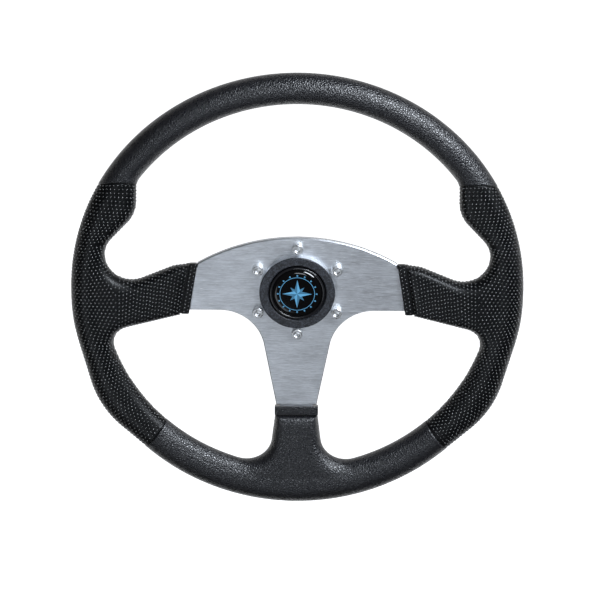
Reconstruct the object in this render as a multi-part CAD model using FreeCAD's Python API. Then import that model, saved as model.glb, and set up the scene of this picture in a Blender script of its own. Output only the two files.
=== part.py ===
import FreeCAD, Part
import math
import os

# Boat steering wheel with three spokes, in millimetres.
# X runs to the helmsman's right, Z up, and Y away from the helmsman along the helm shaft.
# The origin is on the shaft axis, at the nose of the hub, where the shaft goes in.

Vector = FreeCAD.Vector

# Rim: an oval tube, round above and drawn out to two soft corners below
RIM_RADIUS = 175.0           # outside radius of the upper rim
RIM_WIDTH = 24.0             # across the rim, in the plane of the wheel
RIM_DEPTH = 23.0             # through the rim, front to back
RIM_ROUND = 11.0             # rounding of the rim and the sleeves, all along
CORNER_RADIUS = 80.0
SIDE_BEND_Z = -25.2          # height where the upright side and the leaning stretch would cross
SIDE_LEAN = 15.2             # degrees from the vertical, of the stretch above the corner
SIDE_RADIUS = 150.0
FOOT_SLOPE = 42.0            # degrees from the horizontal, of the stretch below the corner
FOOT_REACH = 4.0             # how far the bottom lies outside the upper circle
FOOT_RADIUS = 173.8
LOWER_THICKENING = 1.0       # the inside of the lower rim stands in by this much

# Parting grooves between the leather-grained rim and the studded grips
GROOVE_WIDTH = 1.2
GROOVE_DEPTH = 0.8
UPPER_SEAM_HEIGHT = 85.5
LOWER_SEAM_ANGLE = 47.8      # degrees below the horizontal, where it crosses the crest of the rim
LOWER_SEAM_LEAN = 52.0       # degrees below the horizontal

# Spoke plate
PLATE_THICKNESS = 4.0
PLATE_CHAMFER = 0.8
PLATE_TOP = 43.0             # height of the top arc over the axis
PLATE_LOWER_EDGE = -17.0     # height of the lower edge of the side spokes
PLATE_END_TOP_X = 77.0
PLATE_END_TOP_Z = 21.7
PLATE_END_FOOT_X = 83.7
SPOKE_ARC_RADIUS = 35.0      # hollow arc between a side spoke and the lower spoke
SPOKE_ARC_X = 60.0
SPOKE_TAPER = 11.0           # degrees, each side of the lower spoke
SPOKE_END_GAP = 53.7         # from the end of the lower spoke to the inside of the rim
ARM_INSET = 3.0              # the arms inside the moulding are this much narrower each side
ARM_RIM_HALF_WIDTH = 11.0
RING_WIDTH = 12.0            # the flat ring of the plate inside the rim

# Sleeves of the moulding over the spokes
COLLAR_WIDTH = 6.0
COLLAR_DEPTH = 10.0
COLLAR_TOP_STAND = 0.8       # how far the collars stand out past the edges of the plate
COLLAR_FOOT_STAND = 2.4
LOWER_COLLAR_WIDTH = 7.7
LOWER_COLLAR_STAND = 1.2
NECK_WIDTH = 1.2
NECK_DEPTH = 8.0
NECK_INSET = 3.0             # the neck is this much lower than the collar's edges
SLEEVE_DEPTH = 14.0          # thickness of a side sleeve where it starts
SLEEVE_TOP_DROP = 1.2        # where the sleeve starts, below and beyond the ends of the plate
SLEEVE_FOOT_DROP = 4.2
SHOULDER_RUN = 11.0
SHOULDER_FALL = 1.3
SHOULDER_RADIUS = 30.0
SLEEVE_TOP_SLOPE = 22.8      # degrees down towards the rim
SLEEVE_FOOT_SLOPE = 14.7
NOTCH_DEPTH = 3.0            # how far the thumb notch keeps inside the inner circle of the rim
THUMB_NOTCH_RADIUS = 20.0
THUMB_REST_REACH = 27.6      # from the inside of the rim to the upright face of the thumb rest
THUMB_REST_FOOT_Z = 62.0
THUMB_REST_SLOPE = 47.2      # degrees down, of the rest's lower flank
THUMB_REST_RADIUS = 25.0
THUMB_TOP_RADIUS = 12.0
FINGER_NOTCH_RADIUS = 14.0
LOWER_SLEEVE_HALF_WIDTH = 16.7
LOWER_SLEEVE_FLARE = 7.0     # degrees, each side
LOWER_NOTCH_RADIUS = 20.0

# Hub, with a bore for the 3/4 inch helm taper
HUB_LENGTH = 45.0
HUB_FLANGE_RADIUS = 41.0
HUB_FLANGE_THICKNESS = 8.0
HUB_FLANGE_BEVEL = 2.5
HUB_SHOULDER_RADIUS = 30.0
HUB_NOSE_RADIUS = 21.0
HUB_NOSE_BEVEL = 1.0
HUB_POCKET_SPARE = 1.0       # the front pocket is wider than the plate's hole by this, all round
HUB_POCKET_DEPTH = 15.0
NUT_POCKET_RADIUS = 16.0
NUT_POCKET_DEPTH = 8.0
TAPER_MOUTH_RADIUS = 9.525
TAPER_RATIO = 12.0           # length over the change of diameter
KEYWAY_WIDTH = 4.76
KEYWAY_DEPTH = 2.4
KEYWAY_LENGTH = 18.0

# Hub screws, hexagon socket cap
SCREW_COUNT = 6
SCREW_CIRCLE_RADIUS = 35.0
SCREW_RADIUS = 2.5
SCREW_LENGTH = 10.0          # under the head
SCREW_HEAD_RADIUS = 4.25
SCREW_HEAD_HEIGHT = 5.0
SCREW_HEAD_BEVEL = 0.5
SCREW_SOCKET_FLATS = 4.0
SCREW_SOCKET_DEPTH = 2.5
SCREW_HOLE_CLEARANCE = 0.25
SCREW_THREAD_CLEARANCE = 0.05
SCREW_HOLE_SPARE_DEPTH = 2.0

# Horn push: bezel, sprung button, emblem and contacts
BEZEL_RADIUS = 29.25
BEZEL_HEIGHT = 6.5           # in front of the plate
BEZEL_ROUND = 2.2
BEZEL_LIP_WIDTH = 1.0        # from the bore to the inner edge of the textured face
BEZEL_LIP_DEPTH = 1.6        # bevel from the face down to the bore
BEZEL_BORE_RADIUS = 21.8
BEZEL_SEAT_DEPTH = 4.4       # from the face to the shoulder that stops the button
BEZEL_SHOULDER_WIDTH = 2.2   # the barrel behind the shoulder is wider than the bore by this
BEZEL_SKIRT_WALL = 1.7
BEZEL_SKIRT_CLEARANCE = 0.3
BEZEL_SKIRT_LENGTH = 12.0    # behind the front of the plate
BUTTON_CLEARANCE = 0.5
BUTTON_HEIGHT = 0.6          # rim of the button over the bezel's face
BUTTON_FLANGE_CLEARANCE = 0.4
BUTTON_FLANGE_THICKNESS = 2.0
BUTTON_TRAVEL = 1.5
BUTTON_WALL = 1.8
BUTTON_RIM_ROUND = 0.6
BUTTON_STEM_RADIUS = 4.0
BUTTON_RIM_WIDTH = 1.95      # raised rim round the emblem
EMBLEM_CLEARANCE = 0.15
EMBLEM_SEAT_DEPTH = 1.4      # below the rim of the button
EMBLEM_EDGE = 0.8            # thickness of the emblem at its edge
EMBLEM_DOME = 1.4
BASE_THICKNESS = 2.5
SPRING_RADIUS = 7.0          # to the middle of the wire
SPRING_WIRE_RADIUS = 0.5
SPRING_WIRE_SIDES = 8        # the wire's section is drawn with flats, which keeps the coil light
SPRING_TURNS = 4.0
SPRING_SEAT_GAP = 0.1
CONTACT_RADIUS = 5.5
CONTACT_THICKNESS = 0.6
FIXED_CONTACT_RADIUS = 4.5
FIXED_CONTACT_HEIGHT = 0.8
CONTACT_CLEARANCE = 0.1      # left between the contacts with the button pressed home
BLADE_WIDTH = 6.3
BLADE_THICKNESS = 0.8
BLADE_LENGTH = 6.0           # behind the contact base
BLADE_OFFSET = 12.5
BLADE_TIP = 1.2
BLADE_HOLE_RADIUS = 0.9
BLADE_CLEARANCE = 0.05

# Modelling allowances
JOINT_LAP = 1.0              # how far a stretch runs into the next one so that they join
END_SEARCH = 3.0             # the middle of a sleeve's end edge lies within this of the end

# Places that follow from the sizes
PLATE_BACK_Y = -HUB_LENGTH
PLATE_FRONT_Y = PLATE_BACK_Y - PLATE_THICKNESS
WHEEL_Y = PLATE_BACK_Y - PLATE_THICKNESS / 2
CREST_RADIUS = RIM_RADIUS - RIM_WIDTH / 2
RIM_INSIDE = RIM_RADIUS - RIM_WIDTH
LOWER_INSIDE = RIM_INSIDE - LOWER_THICKENING
SPOKE_END_Z = SPOKE_END_GAP - LOWER_INSIDE
FACE_Y = PLATE_FRONT_Y - BEZEL_HEIGHT
SEAT_Y = FACE_Y + BEZEL_SEAT_DEPTH
SKIRT_END_Y = PLATE_FRONT_Y + BEZEL_SKIRT_LENGTH
BASE_Y = SKIRT_END_Y - BASE_THICKNESS
BEZEL_FACE_RADIUS = BEZEL_BORE_RADIUS + BEZEL_LIP_WIDTH
BEZEL_BARREL_RADIUS = BEZEL_BORE_RADIUS + BEZEL_SHOULDER_WIDTH
BEZEL_SKIRT_RADIUS = BEZEL_BARREL_RADIUS + BEZEL_SKIRT_WALL
CENTRE_HOLE_RADIUS = BEZEL_SKIRT_RADIUS + BEZEL_SKIRT_CLEARANCE
HUB_POCKET_RADIUS = CENTRE_HOLE_RADIUS + HUB_POCKET_SPARE
BUTTON_RADIUS = BEZEL_BORE_RADIUS - BUTTON_CLEARANCE
EMBLEM_SEAT_RADIUS = BUTTON_RADIUS - BUTTON_RIM_WIDTH
EMBLEM_RADIUS = EMBLEM_SEAT_RADIUS - EMBLEM_CLEARANCE
BUTTON_TOP_Y = FACE_Y - BUTTON_HEIGHT
EMBLEM_SEAT_Y = BUTTON_TOP_Y + EMBLEM_SEAT_DEPTH
BUTTON_FLOOR_Y = EMBLEM_SEAT_Y + BUTTON_WALL
FIXED_CONTACT_Y = BASE_Y - FIXED_CONTACT_HEIGHT
MOVING_CONTACT_BACK_Y = FIXED_CONTACT_Y - BUTTON_TRAVEL - CONTACT_CLEARANCE
MOVING_CONTACT_Y = MOVING_CONTACT_BACK_Y - CONTACT_THICKNESS
AXIS = Vector(0, 1, 0)
CENTRE = Vector(0, 0, 0)


def prism(points, front, depth):
    """A flat outline of (x, z) points, extruded along Y from its front face."""
    corners = [Vector(x, front, z) for x, z in points]
    wire = Part.makePolygon(corners + corners[:1])
    return Part.Face(wire).extrude(Vector(0, depth, 0))


def turned(profile):
    """A closed profile of (radius, y) points, turned about the shaft axis."""
    corners = [Vector(radius, y, 0) for radius, y in profile]
    wire = Part.makePolygon(corners + corners[:1])
    return Part.Face(wire).revolve(CENTRE, AXIS, 360)


def round_edges(solid, radius, y):
    """The circular edges of a turned solid at one radius and one place along Y."""
    edges = []
    for edge in solid.Edges:
        box = edge.BoundBox
        if abs(box.XMax - radius) < 0.01 and abs(box.YMin - y) < 0.01 and box.YLength < 0.01:
            edges.append(edge)
    return edges


def rod(x, z, radius, front, length):
    return Part.makeCylinder(radius, length, Vector(x, front, z), AXIS)


def mirrored(solid):
    return solid.mirror(CENTRE, Vector(1, 0, 0))


def polar(radius, degrees):
    turn = math.radians(degrees)
    return Vector(radius * math.cos(turn), WHEEL_Y, radius * math.sin(turn))


def flat(x, z):
    """A point in the middle plane of the wheel."""
    return Vector(x, WHEEL_Y, z)


def heading(degrees):
    """A direction in the plane of the wheel, from +X towards +Z."""
    return polar(1, degrees) - flat(0, 0)


def meet(start, direction, other, other_direction):
    """Where two lines in the plane of the wheel cross."""
    gap = other - start
    cross = direction.x * other_direction.z - direction.z * other_direction.x
    reach = (gap.x * other_direction.z - gap.z * other_direction.x) / cross
    return start + direction * reach


def corner_arc(before, corner, after, radius):
    """The arc that rounds a corner between two straight runs."""
    back = (before - corner).normalize()
    ahead = (after - corner).normalize()
    half = back.getAngle(ahead) / 2
    reach = radius / math.tan(half)
    bisector = (back + ahead).normalize()
    middle = corner + bisector * (radius / math.sin(half) - radius)
    return Part.Arc(corner + back * reach, middle, corner + ahead * reach)


def hollow_arc(start, direction, inward, circle, radius):
    """The arc from a straight run to the rim's inner circle, which it touches from inside."""
    line_point = start + inward * radius
    along = line_point.dot(direction) - flat(0, 0).dot(direction)
    aside = (line_point - flat(0, 0)) - direction * along
    reach = math.sqrt((circle - radius) ** 2 - aside.Length ** 2)
    centre = flat(0, 0) + aside + direction * reach
    on_line = centre - inward * radius
    outward = (centre - flat(0, 0)).normalize()
    on_circle = centre + outward * radius
    middle = centre + ((outward - inward).normalize()) * radius
    return Part.Arc(on_line, middle, on_circle)


def circle_arc(start, end, radius):
    """The arc about the shaft axis between two points that lie on its circle."""
    middle = (start + end) / 2 - flat(0, 0)
    return Part.Arc(start, flat(0, 0) + middle.normalize() * radius, end)


def joined(pieces):
    """Arcs in order, with straight runs between their ends, as one closed outline."""
    edges = []
    for piece, following in zip(pieces, pieces[1:] + pieces[:1]):
        if isinstance(piece, Part.Arc):
            edges.append(piece.toShape())
        here = end_of(piece)
        there = start_of(following)
        if here.distanceToPoint(there) > 1e-4:
            edges.append(Part.makeLine(here, there))
    return Part.Wire(edges)


def start_of(piece):
    return piece.StartPoint if isinstance(piece, Part.Arc) else piece


def end_of(piece):
    return piece.EndPoint if isinstance(piece, Part.Arc) else piece


def mirrored_point(point):
    return Vector(-point.x, point.y, point.z)


def mirrored_arc(arc):
    """The same arc on the left, in the opposite order."""
    middle = arc.value((arc.FirstParameter + arc.LastParameter) / 2)
    return Part.Arc(mirrored_point(arc.EndPoint), mirrored_point(middle), mirrored_point(arc.StartPoint))


def reversed_arc(arc):
    middle = arc.value((arc.FirstParameter + arc.LastParameter) / 2)
    return Part.Arc(arc.EndPoint, middle, arc.StartPoint)


def both_sides(right):
    """Arcs and points of the right half, then of the left half in the opposite order."""
    left = []
    for piece in reversed(right):
        left.append(mirrored_arc(piece) if isinstance(piece, Part.Arc) else mirrored_point(piece))
    return right + left


def rim_outline():
    """The outside: a half circle above, then a leaning side, a soft corner and one arc as the foot."""
    bottom = -RIM_RADIUS - FOOT_REACH
    side = flat(RIM_RADIUS, SIDE_BEND_Z)
    foot = flat(FOOT_RADIUS * math.tan(math.radians(FOOT_SLOPE) / 2), bottom)
    corner = meet(side, heading(90 - SIDE_LEAN), foot, heading(FOOT_SLOPE))
    top = Part.Arc(flat(-RIM_RADIUS, 0), flat(0, RIM_RADIUS), flat(RIM_RADIUS, 0))
    right = [corner_arc(flat(RIM_RADIUS, 0), side, corner, SIDE_RADIUS),
             corner_arc(side, corner, foot, CORNER_RADIUS),
             corner_arc(corner, foot, flat(0, bottom), FOOT_RADIUS)]
    return joined([top] + both_sides(right))


def sleeve_starts():
    """Top and foot of the right-hand sleeve's slanted end, and a top corner of the lower one."""
    run = COLLAR_WIDTH + NECK_WIDTH
    top = flat(PLATE_END_TOP_X + run, PLATE_END_TOP_Z - SLEEVE_TOP_DROP)
    foot = flat(PLATE_END_FOOT_X + run, PLATE_LOWER_EDGE - SLEEVE_FOOT_DROP)
    lower = flat(LOWER_SLEEVE_HALF_WIDTH, SPOKE_END_Z - LOWER_COLLAR_WIDTH - NECK_WIDTH)
    return top, foot, lower


def inner_outline():
    """The inside, from the thumb rest round the side sleeve, along the lower rim to the lower sleeve."""
    top, foot, lower = sleeve_starts()
    notch_x = RIM_INSIDE - NOTCH_DEPTH
    rest_x = RIM_INSIDE - THUMB_REST_REACH
    rest_top = hollow_arc(flat(rest_x, 0), heading(90), heading(180), RIM_INSIDE, THUMB_TOP_RADIUS)
    rest_foot = flat(rest_x, THUMB_REST_FOOT_Z)
    notch_top = meet(rest_foot, heading(-THUMB_REST_SLOPE), flat(notch_x, 0), heading(90))
    shoulder = flat(top.x + SHOULDER_RUN, top.z - SHOULDER_FALL)
    notch_foot = meet(shoulder, heading(-SLEEVE_TOP_SLOPE), flat(notch_x, 0), heading(90))
    upper_notch = corner_arc(rest_foot, notch_top, notch_foot, THUMB_NOTCH_RADIUS)
    notch_run = upper_notch.EndPoint.distanceToPoint(notch_foot)
    lower_notch_radius = notch_run * math.tan(math.radians(90 - SLEEVE_TOP_SLOPE) / 2)
    finger = hollow_arc(foot, heading(-SLEEVE_FOOT_SLOPE), heading(-SLEEVE_FOOT_SLOPE - 90),
                        LOWER_INSIDE, FINGER_NOTCH_RADIUS)
    flare = heading(-90 + LOWER_SLEEVE_FLARE)
    lower_notch = hollow_arc(lower, flare, heading(LOWER_SLEEVE_FLARE), LOWER_INSIDE, LOWER_NOTCH_RADIUS)
    lower_rim = circle_arc(finger.EndPoint, lower_notch.EndPoint, LOWER_INSIDE)
    crown = Part.Arc(mirrored_point(rest_top.EndPoint), flat(0, RIM_INSIDE), rest_top.EndPoint)
    right = [reversed_arc(rest_top),
             corner_arc(rest_top.StartPoint, rest_foot, notch_top, THUMB_REST_RADIUS),
             upper_notch,
             corner_arc(notch_top, notch_foot, shoulder, lower_notch_radius),
             corner_arc(notch_foot, shoulder, top, SHOULDER_RADIUS),
             top, foot, finger, lower_rim, reversed_arc(lower_notch), lower]
    return joined([crown] + both_sides(right))


def rounded_ring(inset):
    """The outline of rim and sleeves, extruded and rounded on both faces, all of it an inset smaller."""
    face = Part.Face(rim_outline()).cut(Part.Face(inner_outline())).Faces[0]
    if inset:
        face = face.makeOffset2D(-inset)
    depth = RIM_DEPTH - 2 * inset
    blank = face.translated(Vector(0, -depth / 2, 0)).extrude(Vector(0, depth, 0))
    rims = [edge for edge in blank.Edges if edge.BoundBox.YLength < 0.01 and not on_sleeve_end(edge)]
    return blank.makeFillet(RIM_ROUND - inset, rims)


def on_sleeve_end(edge):
    """Straight edges across the starts of the three sleeves stay sharp."""
    if not isinstance(edge.Curve, Part.Line):
        return False
    top, foot, lower = sleeve_starts()
    middle = edge.CenterOfMass
    side_end = flat((top.x + foot.x) / 2, (top.z + foot.z) / 2)
    lower_end = flat(0, lower.z)
    place = flat(abs(middle.x), middle.z)
    return min(place.distanceToPoint(side_end), place.distanceToPoint(lower_end)) < END_SEARCH


def taper_cones():
    """Cuts that thin the sleeves evenly from the crest of the rim to the starts of the side sleeves."""
    top, foot, lower = sleeve_starts()
    start = (top.x + foot.x) / 2
    thin = SLEEVE_DEPTH / 2
    thick = RIM_DEPTH / 2
    slope = (thick - thin) / (CREST_RADIUS - start)
    middle = thin - slope * start
    front = turned([(0, WHEEL_Y - middle), (CREST_RADIUS, WHEEL_Y - thick), (0, WHEEL_Y - thick)])
    back = turned([(0, WHEEL_Y + middle), (CREST_RADIUS, WHEEL_Y + thick), (0, WHEEL_Y + thick)])
    return [front, back]


def side_block(near, far, top_stand, foot_stand, depth):
    """A slanted block round the end of the right-hand spoke, between two distances from it."""
    top = PLATE_END_TOP_Z + top_stand
    foot = PLATE_LOWER_EDGE - foot_stand
    outline = [(PLATE_END_TOP_X + near, top), (PLATE_END_TOP_X + far, top),
               (PLATE_END_FOOT_X + far, foot), (PLATE_END_FOOT_X + near, foot)]
    return prism(outline, WHEEL_Y - depth / 2, depth)


def hollow_of_plate():
    """The arc between the right-hand spoke's lower edge and the side of the lower spoke."""
    centre = flat(SPOKE_ARC_X, PLATE_LOWER_EDGE - SPOKE_ARC_RADIUS)
    start, end = 90, 180 - SPOKE_TAPER
    points = [centre + heading(turn) * SPOKE_ARC_RADIUS for turn in (start, (start + end) / 2, end)]
    return Part.Arc(*points)


def spoke_end_half_width():
    """Half the width of the lower spoke where its collar starts."""
    side = heading(-90 - SPOKE_TAPER)
    return meet(hollow_of_plate().EndPoint, side, flat(0, SPOKE_END_Z), heading(0)).x


def lower_block(near, far, stand, depth):
    """A block round the end of the lower spoke, between two distances from it."""
    half = spoke_end_half_width() + stand
    outline = [(-half, SPOKE_END_Z - near), (half, SPOKE_END_Z - near),
               (half, SPOKE_END_Z - far), (-half, SPOKE_END_Z - far)]
    return prism(outline, WHEEL_Y - depth / 2, depth)


def collars():
    """Collar and neck of the right-hand, the left-hand and the lower sleeve."""
    neck_far = COLLAR_WIDTH + NECK_WIDTH + JOINT_LAP
    collar = side_block(0, COLLAR_WIDTH, COLLAR_TOP_STAND, COLLAR_FOOT_STAND, COLLAR_DEPTH)
    neck = side_block(COLLAR_WIDTH / 2, neck_far, COLLAR_TOP_STAND - NECK_INSET,
                      COLLAR_FOOT_STAND - NECK_INSET, NECK_DEPTH)
    lower_far = LOWER_COLLAR_WIDTH + NECK_WIDTH + JOINT_LAP
    lower_collar = lower_block(0, LOWER_COLLAR_WIDTH, LOWER_COLLAR_STAND, COLLAR_DEPTH)
    lower_neck = lower_block(LOWER_COLLAR_WIDTH / 2, lower_far, LOWER_COLLAR_STAND - NECK_INSET, NECK_DEPTH)
    return [collar, neck, mirrored(collar), mirrored(neck), lower_collar, lower_neck]


def seam_slabs():
    """Thin slabs that cross the right-hand rim at its two parting grooves."""
    reach = RIM_WIDTH
    depth = RIM_DEPTH * 2
    low = UPPER_SEAM_HEIGHT - GROOVE_WIDTH / 2
    high = UPPER_SEAM_HEIGHT + GROOVE_WIDTH / 2
    seam_x = math.sqrt(CREST_RADIUS ** 2 - UPPER_SEAM_HEIGHT ** 2)
    upper = prism([(seam_x - reach, low), (seam_x + reach, low), (seam_x + reach, high),
                   (seam_x - reach, high)], WHEEL_Y - depth / 2, depth)
    seam = polar(CREST_RADIUS, -LOWER_SEAM_ANGLE)
    lean = math.radians(-LOWER_SEAM_LEAN)
    along = (math.cos(lean) * reach, math.sin(lean) * reach)
    aside = (-math.sin(lean) * GROOVE_WIDTH / 2, math.cos(lean) * GROOVE_WIDTH / 2)
    corners = [(-1, -1), (1, -1), (1, 1), (-1, 1)]
    lower = prism([(seam.x + along[0] * a + aside[0] * b, seam.z + along[1] * a + aside[1] * b)
                   for a, b in corners], WHEEL_Y - depth / 2, depth)
    return [upper, lower]


def moulding(core):
    """The rim, thumb rests, sleeves and collars as one moulding round the core."""
    whole = rounded_ring(0)
    for cone in taper_cones():
        whole = whole.cut(cone)
    whole = whole.fuse(collars())
    inner = rounded_ring(GROOVE_DEPTH)
    for slab in seam_slabs():
        groove = slab.cut(inner)
        whole = whole.cut([groove, mirrored(groove)])
    return whole.cut(core)


def plate_outline():
    """The spoke plate's outline: the top arc, two slanted ends, two hollow arcs and the lower spoke."""
    end_top = flat(PLATE_END_TOP_X, PLATE_END_TOP_Z)
    end_foot = flat(PLATE_END_FOOT_X, PLATE_LOWER_EDGE)
    spoke_end = flat(spoke_end_half_width(), SPOKE_END_Z)
    top = Part.Arc(mirrored_point(end_top), flat(0, PLATE_TOP), end_top)
    return joined([top] + both_sides([end_foot, hollow_of_plate(), spoke_end]))


def hidden_arms():
    """The narrower arms and the flat ring of the plate, which the moulding covers."""
    top = PLATE_END_TOP_Z - ARM_INSET
    foot = PLATE_LOWER_EDGE + ARM_INSET
    waist_x = RIM_INSIDE - NOTCH_DEPTH - THUMB_NOTCH_RADIUS
    run = waist_x - PLATE_END_TOP_X
    waist_top = top - run * math.tan(math.radians(SLEEVE_TOP_SLOPE)) + ARM_INSET
    waist_foot = foot - run * math.tan(math.radians(SLEEVE_FOOT_SLOPE))
    waist_middle = (waist_top + waist_foot) / 2
    side = prism([(PLATE_END_TOP_X - JOINT_LAP, top), (waist_x, waist_top),
                  (CREST_RADIUS, waist_middle + ARM_RIM_HALF_WIDTH),
                  (CREST_RADIUS, waist_middle - ARM_RIM_HALF_WIDTH), (waist_x, waist_foot),
                  (PLATE_END_FOOT_X - JOINT_LAP, foot)], PLATE_FRONT_Y, PLATE_THICKNESS)
    half = spoke_end_half_width() - ARM_INSET
    start = SPOKE_END_Z + JOINT_LAP
    lower = prism([(-half, start), (half, start), (ARM_RIM_HALF_WIDTH, -CREST_RADIUS),
                   (-ARM_RIM_HALF_WIDTH, -CREST_RADIUS)], PLATE_FRONT_Y, PLATE_THICKNESS)
    ring = rod(0, 0, CREST_RADIUS + RING_WIDTH / 2, PLATE_FRONT_Y, PLATE_THICKNESS)
    ring = ring.cut(rod(0, 0, CREST_RADIUS - RING_WIDTH / 2, PLATE_FRONT_Y, PLATE_THICKNESS))
    return [side, mirrored(side), lower, ring]


def screw_places():
    """Screws stand on a circle, the first straight up."""
    for index in range(SCREW_COUNT):
        turn = math.radians(90 + 360 * index / SCREW_COUNT)
        yield SCREW_CIRCLE_RADIUS * math.cos(turn), SCREW_CIRCLE_RADIUS * math.sin(turn)


def spoke_plate():
    """Flat plate with a chamfered front, the arms and ring that the moulding covers, and its holes."""
    face = Part.Face(plate_outline()).translated(Vector(0, PLATE_FRONT_Y - WHEEL_Y, 0))
    plate = face.extrude(Vector(0, PLATE_THICKNESS, 0))
    front_edges = [edge for edge in plate.Edges if edge.BoundBox.YMax < PLATE_FRONT_Y + 0.01]
    plate = plate.makeChamfer(PLATE_CHAMFER, front_edges)
    plate = plate.fuse(hidden_arms())
    plate = plate.cut(rod(0, 0, CENTRE_HOLE_RADIUS, PLATE_FRONT_Y, PLATE_THICKNESS))
    for x, z in screw_places():
        plate = plate.cut(rod(x, z, SCREW_RADIUS + SCREW_HOLE_CLEARANCE, PLATE_FRONT_Y, PLATE_THICKNESS))
    return plate


def hub():
    """Cast boss: a flange behind the plate, a necked body, pockets in front and the tapered bore."""
    back = PLATE_BACK_Y
    flange_back = back + HUB_FLANGE_THICKNESS
    pocket_floor = back + HUB_POCKET_DEPTH
    nut_floor = pocket_floor + NUT_POCKET_DEPTH
    taper_length = -nut_floor
    taper_end = TAPER_MOUTH_RADIUS - taper_length / TAPER_RATIO / 2
    body = turned([(HUB_POCKET_RADIUS, back), (HUB_FLANGE_RADIUS, back),
                   (HUB_FLANGE_RADIUS, flange_back - HUB_FLANGE_BEVEL),
                   (HUB_FLANGE_RADIUS - HUB_FLANGE_BEVEL, flange_back),
                   (HUB_SHOULDER_RADIUS, flange_back),
                   (HUB_NOSE_RADIUS, -HUB_NOSE_BEVEL), (HUB_NOSE_RADIUS - HUB_NOSE_BEVEL, 0),
                   (TAPER_MOUTH_RADIUS, 0), (taper_end, nut_floor),
                   (NUT_POCKET_RADIUS, nut_floor), (NUT_POCKET_RADIUS, pocket_floor),
                   (HUB_POCKET_RADIUS, pocket_floor)])
    half = KEYWAY_WIDTH / 2
    top = TAPER_MOUTH_RADIUS + KEYWAY_DEPTH
    keyway = prism([(-half, 0), (half, 0), (half, top), (-half, top)], -KEYWAY_LENGTH, KEYWAY_LENGTH)
    body = body.cut(keyway)
    hole_depth = SCREW_LENGTH - PLATE_THICKNESS + SCREW_HOLE_SPARE_DEPTH
    for x, z in screw_places():
        body = body.cut(rod(x, z, SCREW_RADIUS + SCREW_THREAD_CLEARANCE, back, hole_depth))
    return body


def socket_screw(x, z):
    """A cap screw on the plate: bevelled head, hexagon socket and plain shank."""
    face = PLATE_FRONT_Y - SCREW_HEAD_HEIGHT
    head = turned([(0, face), (SCREW_HEAD_RADIUS - SCREW_HEAD_BEVEL, face),
                   (SCREW_HEAD_RADIUS, face + SCREW_HEAD_BEVEL), (SCREW_HEAD_RADIUS, PLATE_FRONT_Y),
                   (SCREW_RADIUS, PLATE_FRONT_Y), (SCREW_RADIUS, PLATE_FRONT_Y + SCREW_LENGTH),
                   (0, PLATE_FRONT_Y + SCREW_LENGTH)])
    corner = SCREW_SOCKET_FLATS / math.sqrt(3)
    corners = []
    for index in range(6):
        turn = math.radians(60 * index)
        corners.append((corner * math.cos(turn), corner * math.sin(turn)))
    socket = prism(corners, face, SCREW_SOCKET_DEPTH)
    return head.cut(socket).translated(Vector(x, 0, z))


def bezel():
    """Round-shouldered ring on the plate, with a skirt through it and a shoulder for the button."""
    ring = turned([(BEZEL_BARREL_RADIUS, SEAT_Y), (BEZEL_BORE_RADIUS, SEAT_Y),
                   (BEZEL_BORE_RADIUS, FACE_Y + BEZEL_LIP_DEPTH), (BEZEL_FACE_RADIUS, FACE_Y),
                   (BEZEL_RADIUS, FACE_Y), (BEZEL_RADIUS, PLATE_FRONT_Y),
                   (BEZEL_SKIRT_RADIUS, PLATE_FRONT_Y), (BEZEL_SKIRT_RADIUS, SKIRT_END_Y),
                   (BEZEL_BARREL_RADIUS, SKIRT_END_Y)])
    return ring.makeFillet(BEZEL_ROUND, round_edges(ring, BEZEL_RADIUS, FACE_Y))


def horn_button():
    """Cup-shaped push with a raised rim, a seat for the emblem, a stop flange and a stem."""
    flange = BEZEL_BARREL_RADIUS - BUTTON_FLANGE_CLEARANCE
    flange_back = SEAT_Y + BUTTON_FLANGE_THICKNESS
    inside = BUTTON_RADIUS - BUTTON_WALL
    cap = turned([(0, EMBLEM_SEAT_Y), (EMBLEM_SEAT_RADIUS, EMBLEM_SEAT_Y),
                  (EMBLEM_SEAT_RADIUS, BUTTON_TOP_Y), (BUTTON_RADIUS, BUTTON_TOP_Y),
                  (BUTTON_RADIUS, SEAT_Y), (flange, SEAT_Y), (flange, flange_back),
                  (inside, flange_back), (inside, BUTTON_FLOOR_Y),
                  (BUTTON_STEM_RADIUS, BUTTON_FLOOR_Y), (BUTTON_STEM_RADIUS, MOVING_CONTACT_Y),
                  (0, MOVING_CONTACT_Y)])
    return cap.makeFillet(BUTTON_RIM_ROUND, round_edges(cap, BUTTON_RADIUS, BUTTON_TOP_Y))


def emblem():
    """Domed disc in the button: a flat back, a short edge and a crown that is part of a sphere."""
    edge_y = EMBLEM_SEAT_Y - EMBLEM_EDGE
    crown = Part.Arc(Vector(EMBLEM_RADIUS, edge_y, 0), Vector(0, edge_y - EMBLEM_DOME, 0),
                     Vector(-EMBLEM_RADIUS, edge_y, 0)).toShape()
    sphere_radius = crown.Curve.Radius
    half_turn = math.asin(EMBLEM_RADIUS / sphere_radius) / 2
    sphere_y = edge_y - EMBLEM_DOME + sphere_radius
    middle = Vector(sphere_radius * math.sin(half_turn), sphere_y - sphere_radius * math.cos(half_turn), 0)
    tip = Vector(0, edge_y - EMBLEM_DOME, 0)
    edge = Vector(EMBLEM_RADIUS, edge_y, 0)
    back_edge = Vector(EMBLEM_RADIUS, EMBLEM_SEAT_Y, 0)
    back = Vector(0, EMBLEM_SEAT_Y, 0)
    outline = Part.Wire([Part.Arc(tip, middle, edge).toShape(), Part.makeLine(edge, back_edge),
                         Part.makeLine(back_edge, back), Part.makeLine(back, tip)])
    return Part.Face(outline).revolve(CENTRE, AXIS, 360)


def moving_contact():
    return rod(0, 0, CONTACT_RADIUS, MOVING_CONTACT_Y, CONTACT_THICKNESS)


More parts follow.
